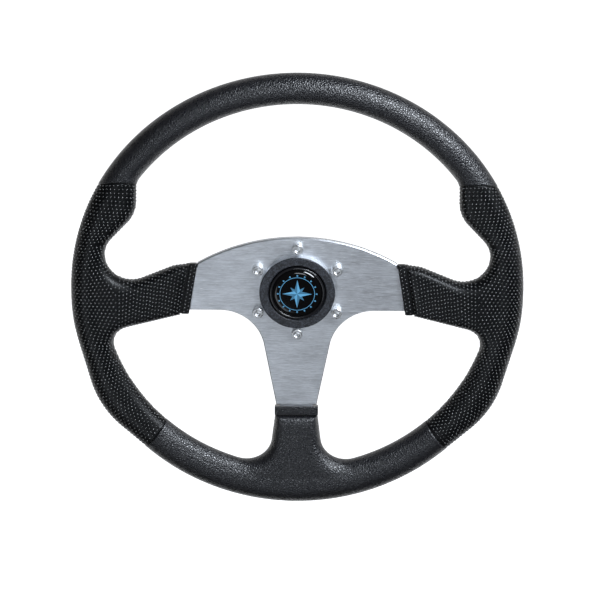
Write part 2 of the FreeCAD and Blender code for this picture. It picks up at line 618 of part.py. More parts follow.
def fixed_contact():
    return rod(0, 0, FIXED_CONTACT_RADIUS, FIXED_CONTACT_Y, FIXED_CONTACT_HEIGHT)


def blade_outline(grow):
    half_width = BLADE_WIDTH / 2 + grow
    half_thickness = BLADE_THICKNESS / 2 + grow
    return [(-half_thickness, -half_width), (half_thickness, -half_width),
            (half_thickness, half_width), (-half_thickness, half_width)]


def contact_base():
    """Insulating disc that closes the back of the bezel, with a slot for each blade."""
    base = rod(0, 0, BEZEL_BARREL_RADIUS, BASE_Y, BASE_THICKNESS)
    slot = prism(blade_outline(BLADE_CLEARANCE), BASE_Y, BASE_THICKNESS)
    for side in (1, -1):
        base = base.cut(slot.translated(Vector(side * BLADE_OFFSET, 0, 0)))
    return base


def terminal_blade(side):
    """Flat blade with a bevelled tip and a locking hole, standing back through the base."""
    length = BASE_THICKNESS + BLADE_LENGTH
    half = BLADE_WIDTH / 2
    end = BASE_Y + length
    corners = [(BASE_Y, -half), (end - BLADE_TIP, -half), (end, -half + BLADE_TIP), (end, half - BLADE_TIP),
               (end - BLADE_TIP, half), (BASE_Y, half)]
    points = [Vector(-BLADE_THICKNESS / 2, y, z) for y, z in corners]
    blade = Part.Face(Part.makePolygon(points + points[:1])).extrude(Vector(BLADE_THICKNESS, 0, 0))
    hole_place = Vector(-BLADE_THICKNESS / 2, BASE_Y + BASE_THICKNESS + BLADE_LENGTH / 2, 0)
    hole = Part.makeCylinder(BLADE_HOLE_RADIUS, BLADE_THICKNESS, hole_place, Vector(1, 0, 0))
    return blade.cut(hole).translated(Vector(side * BLADE_OFFSET, 0, 0))


def return_spring():
    """Coil of wire between the floor of the button and the contact base."""
    front = BUTTON_FLOOR_Y + SPRING_WIRE_RADIUS + SPRING_SEAT_GAP
    back = BASE_Y - SPRING_WIRE_RADIUS - SPRING_SEAT_GAP
    height = back - front
    path = Part.makeHelix(height / SPRING_TURNS, height, SPRING_RADIUS)
    corners = []
    for index in range(SPRING_WIRE_SIDES):
        turn = 2 * math.pi * (index + 0.5) / SPRING_WIRE_SIDES
        reach = SPRING_RADIUS + SPRING_WIRE_RADIUS * math.cos(turn)
        corners.append(Vector(reach, 0, SPRING_WIRE_RADIUS * math.sin(turn)))
    section = Part.makePolygon(corners + corners[:1])
    wire = Part.Wire(path).makePipeShell([section], True, True)
    wire.rotate(CENTRE, Vector(1, 0, 0), -90)
    return wire.translated(Vector(0, front, 0))


def save(name, shape):
    solids = shape.Solids
    solid = solids[0] if len(solids) == 1 else shape
    solid.exportStep("parts/" + name + ".step")
    print(name, "solids", len(solids), "valid", shape.isValid(), "volume", round(shape.Volume))


def build():
    os.makedirs("parts", exist_ok=True)
    plate = spoke_plate()
    save("spoke_frame", plate)
    save("rim_cover", moulding(plate))
    save("hub", hub())
    for index, (x, z) in enumerate(screw_places()):
        save("hub_screw_" + str(index + 1), socket_screw(x, z))
    save("horn_bezel", bezel())
    save("horn_button", horn_button())
    save("emblem_disc", emblem())
    save("return_spring", return_spring())
    save("moving_contact", moving_contact())
    save("fixed_contact", fixed_contact())
    save("contact_base", contact_base())
    save("terminal_blade_right", terminal_blade(1))
    save("terminal_blade_left", terminal_blade(-1))


build()
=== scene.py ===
"""Boat steering wheel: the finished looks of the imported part, with one operator for each group of pieces."""

import math

import bpy
import numpy as np
from bpy.props import FloatProperty, FloatVectorProperty, PointerProperty
from mathutils import Matrix


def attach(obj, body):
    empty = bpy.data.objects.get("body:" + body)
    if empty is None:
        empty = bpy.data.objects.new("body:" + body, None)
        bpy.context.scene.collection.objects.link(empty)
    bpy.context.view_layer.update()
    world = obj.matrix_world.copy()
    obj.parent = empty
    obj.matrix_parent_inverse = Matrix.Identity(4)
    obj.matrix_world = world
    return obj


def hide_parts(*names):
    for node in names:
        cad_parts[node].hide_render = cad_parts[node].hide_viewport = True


bl_info = {
    "name": "Boat steering wheel",
    "version": (1, 0, 0),
    "blender": (4, 5, 0),
    "location": "View3D > Sidebar > Wheel",
    "description": "Rim, grips, collars, screws and horn push of a three-spoke boat steering wheel",
    "category": "Object",
}

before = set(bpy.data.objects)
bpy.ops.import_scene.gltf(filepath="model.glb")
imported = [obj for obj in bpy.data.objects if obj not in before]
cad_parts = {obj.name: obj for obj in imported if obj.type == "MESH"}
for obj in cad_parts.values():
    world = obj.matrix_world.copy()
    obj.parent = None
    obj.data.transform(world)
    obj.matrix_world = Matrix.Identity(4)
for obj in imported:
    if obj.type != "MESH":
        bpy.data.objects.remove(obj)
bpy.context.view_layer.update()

MM = 0.001                   # the outlines are worked out in millimetres, as the part's sizes are

# Rim and sleeves, in the plane of the wheel
WHEEL_Y = -47.0              # middle plane of the rim
RIM_RADIUS = 175.0
RIM_WIDTH = 24.0
RIM_DEPTH = 23.0
SIDE_BEND_Z = -25.2          # height where the upright side and the leaning stretch would cross
CORNER_RADIUS = 80.0
SIDE_LEAN = 15.2
SIDE_RADIUS = 150.0
FOOT_SLOPE = 42.0
FOOT_REACH = 4.0
FOOT_RADIUS = 173.8
RIM_INSIDE = 151.0
LOWER_INSIDE = 150.0
UPPER_SEAM_Z = 85.5
LOWER_SEAM = (110.2, -121.4)
LOWER_SEAM_LEAN = -52.0
SEAM_GAP = 0.02              # each piece stops this far from the middle of its seam
SLEEVE_TOP = (84.2, 20.5)
SLEEVE_FOOT = (90.9, -21.2)
LOWER_SLEEVE = (16.7, -105.2)
SHOULDER = (95.2, 19.2)
SHOULDER_RADIUS = 30.0
SLEEVE_TOP_SLOPE = 22.8
SLEEVE_FOOT_SLOPE = 14.7
NOTCH_X = 148.0
NOTCH_RADIUS = 20.0
REST_X = 123.4
REST_FOOT_Z = 62.0
REST_SLOPE = 47.2
REST_RADIUS = 25.0
REST_TOP_RADIUS = 12.0
FINGER_RADIUS = 14.0
LOWER_FLARE = 7.0
LOWER_NOTCH_RADIUS = 20.0
SLEEVE_START_RADIUS = 87.45  # distance from the axis where the side sleeves start
SLEEVE_HALF_DEPTH = 7.0
CREST_RADIUS = 163.0
NECK_HALF_DEPTH = 4.0
PATH_STEP = 0.25             # spacing of the points along an outline
RIM_STEP, GRIP_STEP, LOWER_STEP, SLEEVE_STEP = 2.0, 1.5, 1.7, 1.6    # spacing of the rows of each mesh
SEAM_ROLL_RUN = 1.3          # how the rim rolls into a seam
SEAM_EDGE_SHARE = 0.12       # share of that roll at the rim's inner and outer edges
SEAM_ROLL_DEPTH = 0.7
UPPER_SEAM_LEAN = 0.39       # rise of the upper seams' cut towards the helmsman, per depth
UPPER_SEAM_FADE = 14.0       # height over which that lean fades out
WELD = 0.001                 # points closer than this are one
BATCH = 1500                 # points whose distances are worked out together
UPPER_SEAM_ENDS = ((123, UPPER_SEAM_Z), (152, UPPER_SEAM_Z))    # about where it meets both outlines
LOWER_SEAM_ENDS = ((102, -111), (118, -132))
SLEEVE_ROOTS = ((141, 12), (140.6, -38.9))         # about where a side sleeve leaves the rim
SLEEVE_ROOTS_OUTSIDE = ((175, 8), (176.2, -33))    # places across the rim from them
LOWER_ROOT, LOWER_ROOT_OUTSIDE = (24.5, -139), (30, -176)
SWELL_START_Z = -45.0        # below this the rim's section grows wider, over the swell's run
SWELL_RUN = 30.0
SWELL = 2.0
RIDGE_ROUND = 2.6            # how widely the sleeves' ridge is rounded
CREST_RISE = 0.3             # how fast the cone that thins the sleeves lets go near the crest
CREST_RUN = 6.0
SHOULDER_RUN = 4.0           # how the sleeve's start is rounded
SHOULDER_ROUND = 0.5

STUD_SIDES = 8
STUD_SINK = 0.25
STUD_RING = (0.72, 0.62)     # the upper ring's shares of a stud's radius and height
STUD_CLEARANCE = 0.74        # least gap between studs, as a share of their pitch
RIM_STUD_ENDS = (2.2, 2.0)   # how far the rows of studs stay from both ends of their stretch
SLEEVE_STUD_ENDS = (1.4, 0.2)
COLLAR_STUD_ENDS = (1.3, 1.0)
COLLAR_STUD_EDGE = 1.2       # and how far from the top of a collar's back
ACROSS = 37                  # points across half the section of the rim
SLEEVE_ROWS = 49             # points across a sleeve

# Collars round the ends of the spokes
PLATE_END_TOP = (77.0, 21.7)
PLATE_END_FOOT = (83.7, -17.0)
COLLAR_WIDTH = 6.0
COLLAR_TOP_STAND = 0.8
COLLAR_FOOT_STAND = 2.4
COLLAR_HALF_DEPTH = 5.0
LOWER_COLLAR_TOP = -96.3
LOWER_COLLAR_WIDTH = 7.7
LOWER_COLLAR_HALF = 17.0
COLLAR_TOP_FALL = 2.4        # how far a collar's top is lower at its back
COLLAR_SKIN = 0.3            # how far a side collar lies under the solid, for its studs
COLLAR_ROUND = 0.8
COLLAR_STUD_COLUMNS = (1.6, 4.3)
NECK_ROUND = 0.5
NECK_REACH = 2.6             # how far a neck reaches past its collar
NECK_OVERLAP = 1.5           # and how far it reaches into it
NECK_TOP_DROP = 2.5

# Horn push and screws
PLATE_FRONT_Y = -49.0
SCREW_CIRCLE_RADIUS = 35.0
SCREW_COUNT = 6
SCREW_SIDES = 72
SCREW_FACE_Y = -54.0
SCREW_HEAD_RADIUS = 4.25
SCREW_SHANK_RADIUS = 2.5
SCREW_REACH = 10.0
SOCKET_HALF = 2.0            # from the axis to a side of the hexagon
SOCKET_DEPTH = 2.5
PUSH_SIDES = 180
BEZEL_FACE_Y = -55.5
BEZEL_RADIUS = 29.25
BEZEL_LIP_RADIUS = 22.8
BEZEL_BORE_RADIUS = 21.8
BEZEL_SHOULDER = 4.4         # depth of the shoulder under the face
BARREL_RADII = (24.0, 25.7)
BARREL_REACH = 12.0
BUTTON_TOP_Y = -56.1
BUTTON_RADIUS = 21.3
BUTTON_POCKET = (19.35, 1.4) # radius and depth of the pocket that holds the disc
BUTTON_CROWN = 3.2           # depth of the button's underside below its top
FLANGE_RADIUS = 23.6
FLANGE_DEPTH = 2.0
SKIRT_RADIUS = 19.5
STEM_RADIUS = 4.0
STEM_END_Y = -42.5
DISC_RADIUS = 19.2
DISC_STAND = 0.8
DISC_CURVE = 480.0
DISC_ROLL = 3.4
DISC_FALL = 0.8              # in radians
PROFILE_STEP = 0.12          # spacing of points round the corners of a turned profile
PROFILE_EDGE = 0.15          # a longer run than PROFILE_RUN gets points this close to its ends
PROFILE_RUN = 0.8
BLOCK_TURNS = 5              # points round a quarter turn of a block's edge

# Stage, in metres and degrees
CAMERA_ELEVATION, CAMERA_ROLL, CAMERA_REACH = 21.3, 0.42, 2.6
CAMERA_LENS, CAMERA_SHIFT = 201.8, (0.0046, -0.0176)
LAMPS = (                    # name, setting of its power, width, depth, place and aim
    ("Key light", "key_power", 0.8, 0.45, (0.88, -0.9, 0.97), (0.02, 0, 0)),
    ("Front light", "front_power", 0.5, 0.5, (0.15, -1.9, 0.35), (0, 0, 0)),
    ("Card light", "card_power", 0.9, 0.7, (-0.58, -1.6, -0.85), (0, 0, 0)),
)
LAMP_COLOUR = (0.86, 0.92, 1.0)
SWEEP_HALF, SWEEP_NEAR, SWEEP_FAR, SWEEP_BEND, SWEEP_TOP = 6.0, 0.15, 4.5, 1.5, 4.0


def unit(vector):
    """A vector made one long."""
    return vector / np.linalg.norm(vector)


def heading(degrees):
    """A direction in the plane of the wheel, from +X towards +Z."""
    turn = math.radians(degrees)
    return np.array([math.cos(turn), math.sin(turn)])


def meet(start, direction, other, other_direction):
    """Where two lines cross: the first line's reach comes from the cross products of gap and directions."""
    gap = np.subtract(other, start)
    cross = direction[0] * other_direction[1] - direction[1] * other_direction[0]
    reach = (gap[0] * other_direction[1] - gap[1] * other_direction[0]) / cross
    return np.asarray(start) + direction * reach


def arc(centre, start, end, step=PATH_STEP):
    """Points of the shorter arc about a centre: the start turned by even steps up to the end."""
    centre, first, last = np.asarray(centre), np.subtract(start, centre), np.subtract(end, centre)
    turn = math.atan2(first[0] * last[1] - first[1] * last[0], first @ last)
    count = max(3, int(abs(turn) * np.linalg.norm(first) / step))
    turns = np.linspace(0, turn, count)
    across = np.array([-first[1], first[0]])
    return centre + np.outer(np.cos(turns), first) + np.outer(np.sin(turns), across)


def corner(before, point, after, radius, step=PATH_STEP):
    """The arc that rounds a corner between two straight runs and touches both."""
    back, ahead = unit(np.subtract(before, point)), unit(np.subtract(after, point))
    half = math.acos(np.clip(back @ ahead, -1, 1)) / 2
    centre = np.asarray(point) + unit(back + ahead) * radius / math.sin(half)
    reach = radius / math.tan(half)
    return arc(centre, point + back * reach, point + ahead * reach, step)


def hollow(start, direction, inward, circle, radius):
    """The arc from a straight run to a circle about the axis, which it touches from inside."""
    line = np.asarray(start) + inward * radius
    aside = line - direction * (line @ direction)
    centre = aside + direction * math.sqrt((circle - radius) ** 2 - aside @ aside)
    return arc(centre, centre - inward * radius, centre * circle / (circle - radius))


def outside():
    """Right half of the outside, from the crown down to the bottom."""
    bottom = -RIM_RADIUS - FOOT_REACH
    side = np.array([RIM_RADIUS, SIDE_BEND_Z])
    foot = np.array([FOOT_RADIUS * math.tan(math.radians(FOOT_SLOPE / 2)), bottom])
    point = meet(side, heading(90 - SIDE_LEAN), foot, heading(FOOT_SLOPE))
    return np.vstack([
        arc((0, 0), (0, RIM_RADIUS), (RIM_RADIUS, 0)),
        corner((RIM_RADIUS, 0), side, point, SIDE_RADIUS),
        corner(side, point, foot, CORNER_RADIUS),
        corner(point, foot, np.array([-foot[0], bottom]), FOOT_RADIUS),
    ])


def inside_above():
    """Right half of the inside, from the crown round the thumb rest and its notch to the side sleeve."""
    rest_top = hollow((REST_X, 0), heading(90), heading(180), RIM_INSIDE, REST_TOP_RADIUS)
    rest_foot = np.array([REST_X, REST_FOOT_Z])
    notch_top = meet(rest_foot, heading(-REST_SLOPE), (NOTCH_X, 0), heading(90))
    notch_foot = meet(SHOULDER, heading(-SLEEVE_TOP_SLOPE), (NOTCH_X, 0), heading(90))
    return np.vstack([
        arc((0, 0), (0, RIM_INSIDE), rest_top[-1]),
        rest_top[::-1],
        corner(rest_top[0], rest_foot, notch_top, REST_RADIUS),
        corner(rest_foot, notch_top, notch_foot, NOTCH_RADIUS),
        corner(notch_top, notch_foot, SHOULDER, NOTCH_RADIUS),
        corner(notch_foot, SHOULDER, SLEEVE_TOP, SHOULDER_RADIUS),
        [SLEEVE_TOP],
    ])


def inside_below():
    """Right half of the inside, from the side sleeve round the finger notch to the lower sleeve."""
    finger = hollow(SLEEVE_FOOT, heading(-SLEEVE_FOOT_SLOPE), heading(-SLEEVE_FOOT_SLOPE - 90),
                    LOWER_INSIDE, FINGER_RADIUS)
    notch = hollow(LOWER_SLEEVE, heading(LOWER_FLARE - 90), heading(LOWER_FLARE),
                   LOWER_INSIDE, LOWER_NOTCH_RADIUS)
    return np.vstack([[SLEEVE_FOOT], finger, arc((0, 0), finger[-1], notch[-1]), notch[::-1],
                      [LOWER_SLEEVE]])


def lengths(path):
    """Distance along a path at each of its points."""
    return np.concatenate([[0], np.cumsum(np.linalg.norm(np.diff(path, axis=0), axis=1))])


def walk(path, shares):
    """Points at given shares of a path's length."""
    run = lengths(path)
    places = np.asarray(shares) * run[-1]
    return np.stack([np.interp(places, run, path[:, k]) for k in range(path.shape[1])], axis=1)


def stretch(path, start, end):
    """The part of a path between two distances along it."""
    run = lengths(path)
    kept = (run > start) & (run < end)
    ends = walk(path, np.array([start, end]) / run[-1])
    return np.vstack([ends[:1], path[kept], ends[1:]])


def crossing(path, point, direction, near):
    """Distance along a path where it crosses a line, at the crossing nearest to a place."""
    offset = path - np.asarray(point)
    side = direction[0] * offset[:, 1] - direction[1] * offset[:, 0]
    found = np.nonzero(side[:-1] * side[1:] <= 0)[0]
    gaps = np.linalg.norm(path[found] - np.asarray(near), axis=1)
    index = found[np.argmin(gaps)]
    share = side[index] / (side[index] - side[index + 1] + 1e-12)
    run = lengths(path)
    return run[index] + share * (run[index + 1] - run[index])


def upper_seam(path, end, offset):
    """Distance along a path where the level cut of the upper seam crosses it, moved up by an offset."""
    return crossing(path, (0, UPPER_SEAM_Z + offset), heading(0), UPPER_SEAM_ENDS[end])


def lower_seam(path, end, offset):
    """Distance along a path where the slanted cut of the lower seam crosses it, moved out by an offset."""
    seam = heading(LOWER_SEAM_LEAN)
    point = np.array(LOWER_SEAM) + np.array([-seam[1], seam[0]]) * offset
    return crossing(path, point, seam, LOWER_SEAM_ENDS[end])


def nearest(path, point):
    """Distance along a path of its point nearest to a place."""
    return lengths(path)[np.argmin(np.linalg.norm(path - np.asarray(point), axis=1))]


def distance(points, *paths):
    """Shortest distance from each point to any of several paths, measured to their straight segments."""
    flat = points.reshape(-1, 2)
    start = np.concatenate([path[:-1] for path in paths])
    run = np.concatenate([np.diff(path, axis=0) for path in paths])
    square = np.maximum((run ** 2).sum(1), 1e-12)
    found = np.empty(len(flat))
    for first in range(0, len(flat), BATCH):
        gap = flat[first:first + BATCH, None, :] - start[None]
        share = np.clip((gap * run).sum(2) / square, 0, 1)
        rest = gap - share[..., None] * run
        found[first:first + BATCH] = np.sqrt((rest ** 2).sum(2).min(1))
    return found.reshape(points.shape[:-1])


def soft_min(a, b, blend):
    """The smaller of two values, with a parabola that rounds the change from one to the other."""
    return np.minimum(a, b) - np.maximum(blend - np.abs(a - b), 0) ** 2 / (4 * blend)


def eased(count):
    """Shares from 0 to 1 that crowd at both ends as the cosine does, so that a round edge is even."""
    return (1 - np.cos(np.pi * np.linspace(0, 1, count))) / 2


def seam_steps(length, spacing, start=True, end=True):
    """Distances along a stretch, even in the middle and crowded where its ends roll into a seam."""
    roll = SEAM_ROLL_RUN * (1 - np.cos(np.linspace(0, np.pi / 2, 7)))
    ramp = np.concatenate([roll, SEAM_ROLL_RUN + np.array([0.5, 1.0, 1.6, 2.3, 3.2])])
    low = ramp if start else np.array([0.0])
    high = length - (ramp[::-1] if end else np.array([0.0]))
    count = max(2, int((high[0] - low[-1]) / spacing))
    middle = np.linspace(low[-1], high[0], count + 1)[1:-1]
    return np.concatenate([low, middle, high]) / length


def rolled(strip, depth, run):
    """A strip round the rim, front and back. Its section shrinks by a quarter ellipse of the distance to
    each end, where it rolls into a seam: the depth by all of that, the width by a share of it."""
    scale = np.ones_like(run)
    for gap in (run, run[-1] - run):
        share = np.clip(1 - gap / SEAM_ROLL_RUN, 0, 1)
        scale = scale * (1 - SEAM_ROLL_DEPTH * (1 - np.sqrt(1 - share ** 2)) / (RIM_WIDTH / 2))
    middle = (strip[:, :1] + strip[:, -1:]) / 2
    strip = middle + (strip - middle) * (1 - SEAM_EDGE_SHARE * (1 - scale))[:, None, None]
    return [solid(strip, depth * scale[:, None], side) for side in (-1, 1)]


def ruled(inner, outer, count):
    """Straight lines from an inner to an outer row of points, eased towards both."""
    share = eased(count)[None, :, None]
    return inner[:, None, :] * (1 - share) + outer[:, None, :] * share


def coons(top, foot, near, far, along, across):
    """A patch between four edges: the sum of both ruled surfaces less the one through the corners."""
    a, b = np.asarray(along)[None, :, None], np.asarray(across)[:, None, None]
    between_sides = (1 - b) * top[None] + b * foot[None]
    between_ends = (1 - a) * near[:, None] + a * far[:, None]
    corners = ((1 - b) * ((1 - a) * top[0] + a * top[-1]) + b * ((1 - a) * foot[0] + a * foot[-1]))
    return between_sides + between_ends - corners


def half_depth(points, inner, outer, end_line=None):
    """Half the depth of the moulding: an ellipse over the distance to the nearer outline, kept under a
    cone that thins the sleeves towards the axis and under a round shoulder at the sleeve's start."""
    to_inner, to_outer = distance(points, *inner), distance(points, *outer)
    below = np.clip((SWELL_START_Z - points[..., 1]) / SWELL_RUN, 0, 1)
    widest = RIM_WIDTH / 2 + SWELL * below ** 2 * (3 - 2 * below)
    reach = np.minimum((to_inner + to_outer) / 2, widest)
    near = np.clip(np.minimum(to_inner, to_outer) / reach, 0, 1)
    depth = RIM_DEPTH / 2 * np.sqrt(1 - (1 - near) ** 2)
    if end_line is not None:
        radius = np.hypot(points[..., 0], points[..., 1])
        slope = (RIM_DEPTH / 2 - SLEEVE_HALF_DEPTH) / (CREST_RADIUS - SLEEVE_START_RADIUS)
        cone = SLEEVE_HALF_DEPTH + slope * (radius - SLEEVE_START_RADIUS)
        cone = cone + CREST_RISE * np.maximum(radius - CREST_RADIUS + CREST_RUN, 0)
        depth = soft_min(depth, cone, RIDGE_ROUND)
        gap = distance(points, end_line)
        share = np.clip(1 - gap / SHOULDER_RUN, 0, 1)
        top = SLEEVE_HALF_DEPTH + slope * (np.linalg.norm(np.mean(end_line, axis=0)) - SLEEVE_START_RADIUS)
        rise = NECK_HALF_DEPTH + (top - NECK_HALF_DEPTH) * np.sqrt(1 - share ** 2)
        depth = soft_min(depth, rise + np.maximum(gap - SHOULDER_RUN, 0), SHOULDER_ROUND)
    depth[np.minimum(to_inner, to_outer) < 1e-6] = 0
    return depth


def solid(flat, depth, side):
    """Planar points and half depths as places in space, on the front (-1) or the back (1). The cut at the
    upper seams leans: near it each point moves along the rim by its share of the depth, and a bell curve
    of its height over the seam fades that out."""
    across, up = flat[..., 0], flat[..., 1]
    fade = np.exp(-((up - UPPER_SEAM_Z) / UPPER_SEAM_FADE) ** 2)
    shift = -side * depth * UPPER_SEAM_LEAN * fade
    slope = UPPER_SEAM_Z / math.sqrt((RIM_RADIUS - RIM_WIDTH / 2) ** 2 - UPPER_SEAM_Z ** 2)
    return np.stack([across - np.sign(across) * slope * shift, WHEEL_Y + side * depth, up + shift], axis=-1)


def welded(patches):
    """Grids of points as one closed surface: equal points become one, each cell two triangles, and all
    faces point outwards, which a positive volume shows."""
    flat = np.concatenate([patch.reshape(-1, 3) for patch in patches])
    keys = np.round(flat / WELD).astype(np.int64)
    _, first, back = np.unique(keys, axis=0, return_index=True, return_inverse=True)
    back = back.reshape(-1)
    points = flat[first]
    grids, triangles, start = [], [], 0
    for patch in patches:
        rows, columns = patch.shape[:2]
        grid = back[start:start + rows * columns].reshape(rows, columns)
        start += rows * columns
        a, b, c, d = grid[:-1, :-1], grid[1:, :-1], grid[1:, 1:], grid[:-1, 1:]
        triangles += [np.stack([a, b, c], -1).reshape(-1, 3), np.stack([a, c, d], -1).reshape(-1, 3)]
        grids.append(grid)
    triangles = np.concatenate(triangles)
    kept = ((triangles[:, 0] != triangles[:, 1]) & (triangles[:, 1] != triangles[:, 2])
            & (triangles[:, 2] != triangles[:, 0]))
    triangles = triangles[kept]
    a, b, c = (points[triangles[:, k]] for k in range(3))
    if (a * np.cross(b, c)).sum() < 0:
        triangles = triangles[:, ::-1]
    return points, triangles, grids


def point_normals(points, triangles):
    """Normal at each point: the sum of its triangles' cross products, made one long."""
    a, b, c = (points[triangles[:, k]] for k in range(3))
    faces = np.cross(b - a, c - a)
    total = np.zeros_like(points)
    for column in range(3):
        for axis in range(3):
            total[:, axis] += np.bincount(triangles[:, column], faces[:, axis], len(points))
    return total / np.maximum(np.linalg.norm(total, axis=1, keepdims=True), 1e-12)


def mesh_piece(name, shape, materials):
    """A mesh object from a shape in millimetres: its points, its triangles and, where it has more than
    one material, the material of each face."""
    points, triangles, *faces_of = shape
    mesh = bpy.data.meshes.new(name)
    mesh.vertices.add(len(points))
    mesh.vertices.foreach_set("co", (points * MM).astype(np.float32).reshape(-1))
    mesh.loops.add(len(triangles) * 3)
    mesh.loops.foreach_set("vertex_index", triangles.astype(np.int32).reshape(-1))
    mesh.polygons.add(len(triangles))
    mesh.polygons.foreach_set("loop_start", np.arange(0, len(triangles) * 3, 3, dtype=np.int32))
    mesh.polygons.foreach_set("use_smooth", np.full(len(triangles), True))
    for material in materials:
        mesh.materials.append(material)
    if faces_of:
        mesh.polygons.foreach_set("material_index", faces_of[0].astype(np.int32))
    mesh.update(calc_edges=True)
    mesh.validate()
    piece = bpy.data.objects.new(name, mesh)
    bpy.context.scene.collection.objects.link(piece)
    return piece


def mirrored(points, triangles, *faces_of):
    """The same shape on the left, with its faces still outward."""
    return points * np.array([-1, 1, 1]), triangles[:, ::-1], *faces_of


def stud_rows(lines, normals, zero, pitch, closed):
    """Places of studs along rows of surface points: an even pitch counted from one column of the rows,
    with every other row moved by half a pitch, and a whole number of studs round a closed row."""
    places, facing = [], []
    for index, (line, normal) in enumerate(zip(lines, normals)):
        run = lengths(line)
        run = run - run[zero]
        step = pitch
        if closed[index]:
            step = (run[-1] - run[0]) / round((run[-1] - run[0]) / pitch)
        first = math.ceil(run[0] / step)
        marks = (np.arange(first, first + int((run[-1] - run[0]) / step) + 2) + 0.5 * (index % 2)) * step
        marks = marks[(marks >= run[0]) & (marks < run[-1] - 0.01)]
        places.append(np.stack([np.interp(marks, run, line[:, k]) for k in range(3)], -1))
        facing.append(np.stack([np.interp(marks, run, normal[:, k]) for k in range(3)], -1))
    return np.concatenate(places), np.concatenate(facing)


def rows_between(grids, run, places):
    """Rows of a grid of points at given distances along it, each a mean of its two neighbours."""
    index = np.interp(places, run, np.arange(len(run)))
    low = np.minimum(index.astype(int), len(run) - 2)
    share = (index - low)[:, None, None]
    return [grid[low] * (1 - share) + grid[low + 1] * share for grid in grids]


def thinned(places, facing, gap):
    """Studs without the later one of each pair that stands closer than a gap."""
    square = (places ** 2).sum(1)
    apart = square[:, None] + square[None] - 2 * places @ places.T
    kept = ~np.tril(apart < gap * gap, -1).any(axis=1)
    return places[kept], facing[kept]


def studs(places, facing, radius, height):
    """Low domes standing on a surface: a ring under it, a narrower ring near the top and a tip."""
    turns = np.linspace(0, 2 * np.pi, STUD_SIDES, endpoint=False)
    ring = np.stack([np.cos(turns), np.sin(turns)], -1)
    shape = np.concatenate([
        np.column_stack([ring * radius, np.full(STUD_SIDES, -STUD_SINK)]),
        np.column_stack([ring * radius * STUD_RING[0], np.full(STUD_SIDES, height * STUD_RING[1])]),
        [[0, 0, height]],
    ])
    k = np.arange(STUD_SIDES)
    after = (k + 1) % STUD_SIDES
    tip = 2 * STUD_SIDES
    faces = np.concatenate([
        np.stack([k, after, after + STUD_SIDES], -1),
        np.stack([k, after + STUD_SIDES, k + STUD_SIDES], -1),
        np.stack([k + STUD_SIDES, after + STUD_SIDES, np.full(STUD_SIDES, tip)], -1),
        np.stack([np.zeros(STUD_SIDES - 2, int), k[2:], k[1:-1]], -1),
    ])
    facing = facing / np.linalg.norm(facing, axis=1, keepdims=True)
    guide = np.where(np.abs(facing[:, 2:3]) < 0.9, [[0, 0, 1.0]], [[1.0, 0, 0]])
    first = np.cross(guide, facing)
    first /= np.linalg.norm(first, axis=1, keepdims=True)
    second = np.cross(facing, first)
    points = (places[:, None] + first[:, None] * shape[None, :, :1] + second[:, None] * shape[None, :, 1:2]
              + facing[:, None] * shape[None, :, 2:])
    count = len(shape)
    triangles = faces[None] + (np.arange(len(places)) * count)[:, None, None]
    return points.reshape(-1, 3), triangles.reshape(-1, 3)


def joined(first, second):
    """Two surfaces as one, and which of the two each face belongs to."""
    points = np.concatenate([first[0], second[0]])
    triangles = np.concatenate([first[1], second[1] + len(first[0])])
    faces_of = np.concatenate([np.zeros(len(first[1]), int), np.ones(len(second[1]), int)])
    return points, triangles, faces_of


def sleeve_shares(length):
    """Shares along a sleeve, crowded at its start where its shoulder is round."""
    start = np.array([0, 0.06, 0.25, 0.55, 0.95, 1.4, 1.9, 2.5, 3.2, 4.0, 5.0])
    count = int((length - start[-1]) / SLEEVE_STEP)
    return np.concatenate([start, np.linspace(start[-1], length, count + 1)[1:]]) / length


def branched(first, last, outer, top, foot, end, inner_paths, outer_paths):
    """The moulding where a sleeve branches off the rim: a strip round the rim, whose inner edge runs
    over the sleeve's root, and a patch from there to the sleeve's start, on the front and the back."""
    across = eased(SLEEVE_ROWS)
    line = first[-1] + (last[0] - first[-1]) * across[:, None]
    inner = np.vstack([first, line[1:-1], last])
    run = lengths((inner + outer) / 2)
    strip = ruled(inner, outer, ACROSS)
    root = slice(len(first) - 1, len(first) + len(line) - 1)
    along = sleeve_shares(lengths(top)[-1])
    patch = coons(walk(top, along), walk(foot, along), walk(end, across), line, along, across)
    patch[:, -1] = strip[root, 0]
    strip_depth = half_depth(strip, inner_paths, outer_paths, end)
    patch_depth = half_depth(patch, inner_paths, outer_paths, end)
    patch_depth[:, -1] = strip_depth[root, 0]
    rim = rolled(strip, strip_depth, run)
    sleeve = [solid(patch, patch_depth, side) for side in (-1, 1)]
    sleeve_cap = np.stack([sleeve[1][:, 0], sleeve[0][:, 0]], axis=1)
    return [rim[0], rim[1][:, ::-1], sleeve[0], sleeve[1][:, ::-1], *seam_caps(rim), sleeve_cap], root, run


def seam_caps(rim):
    """The faces that close a strip at both of its seams."""
    return np.stack([rim[1][0], rim[0][0]]), np.stack([rim[0][-1], rim[1][-1]])


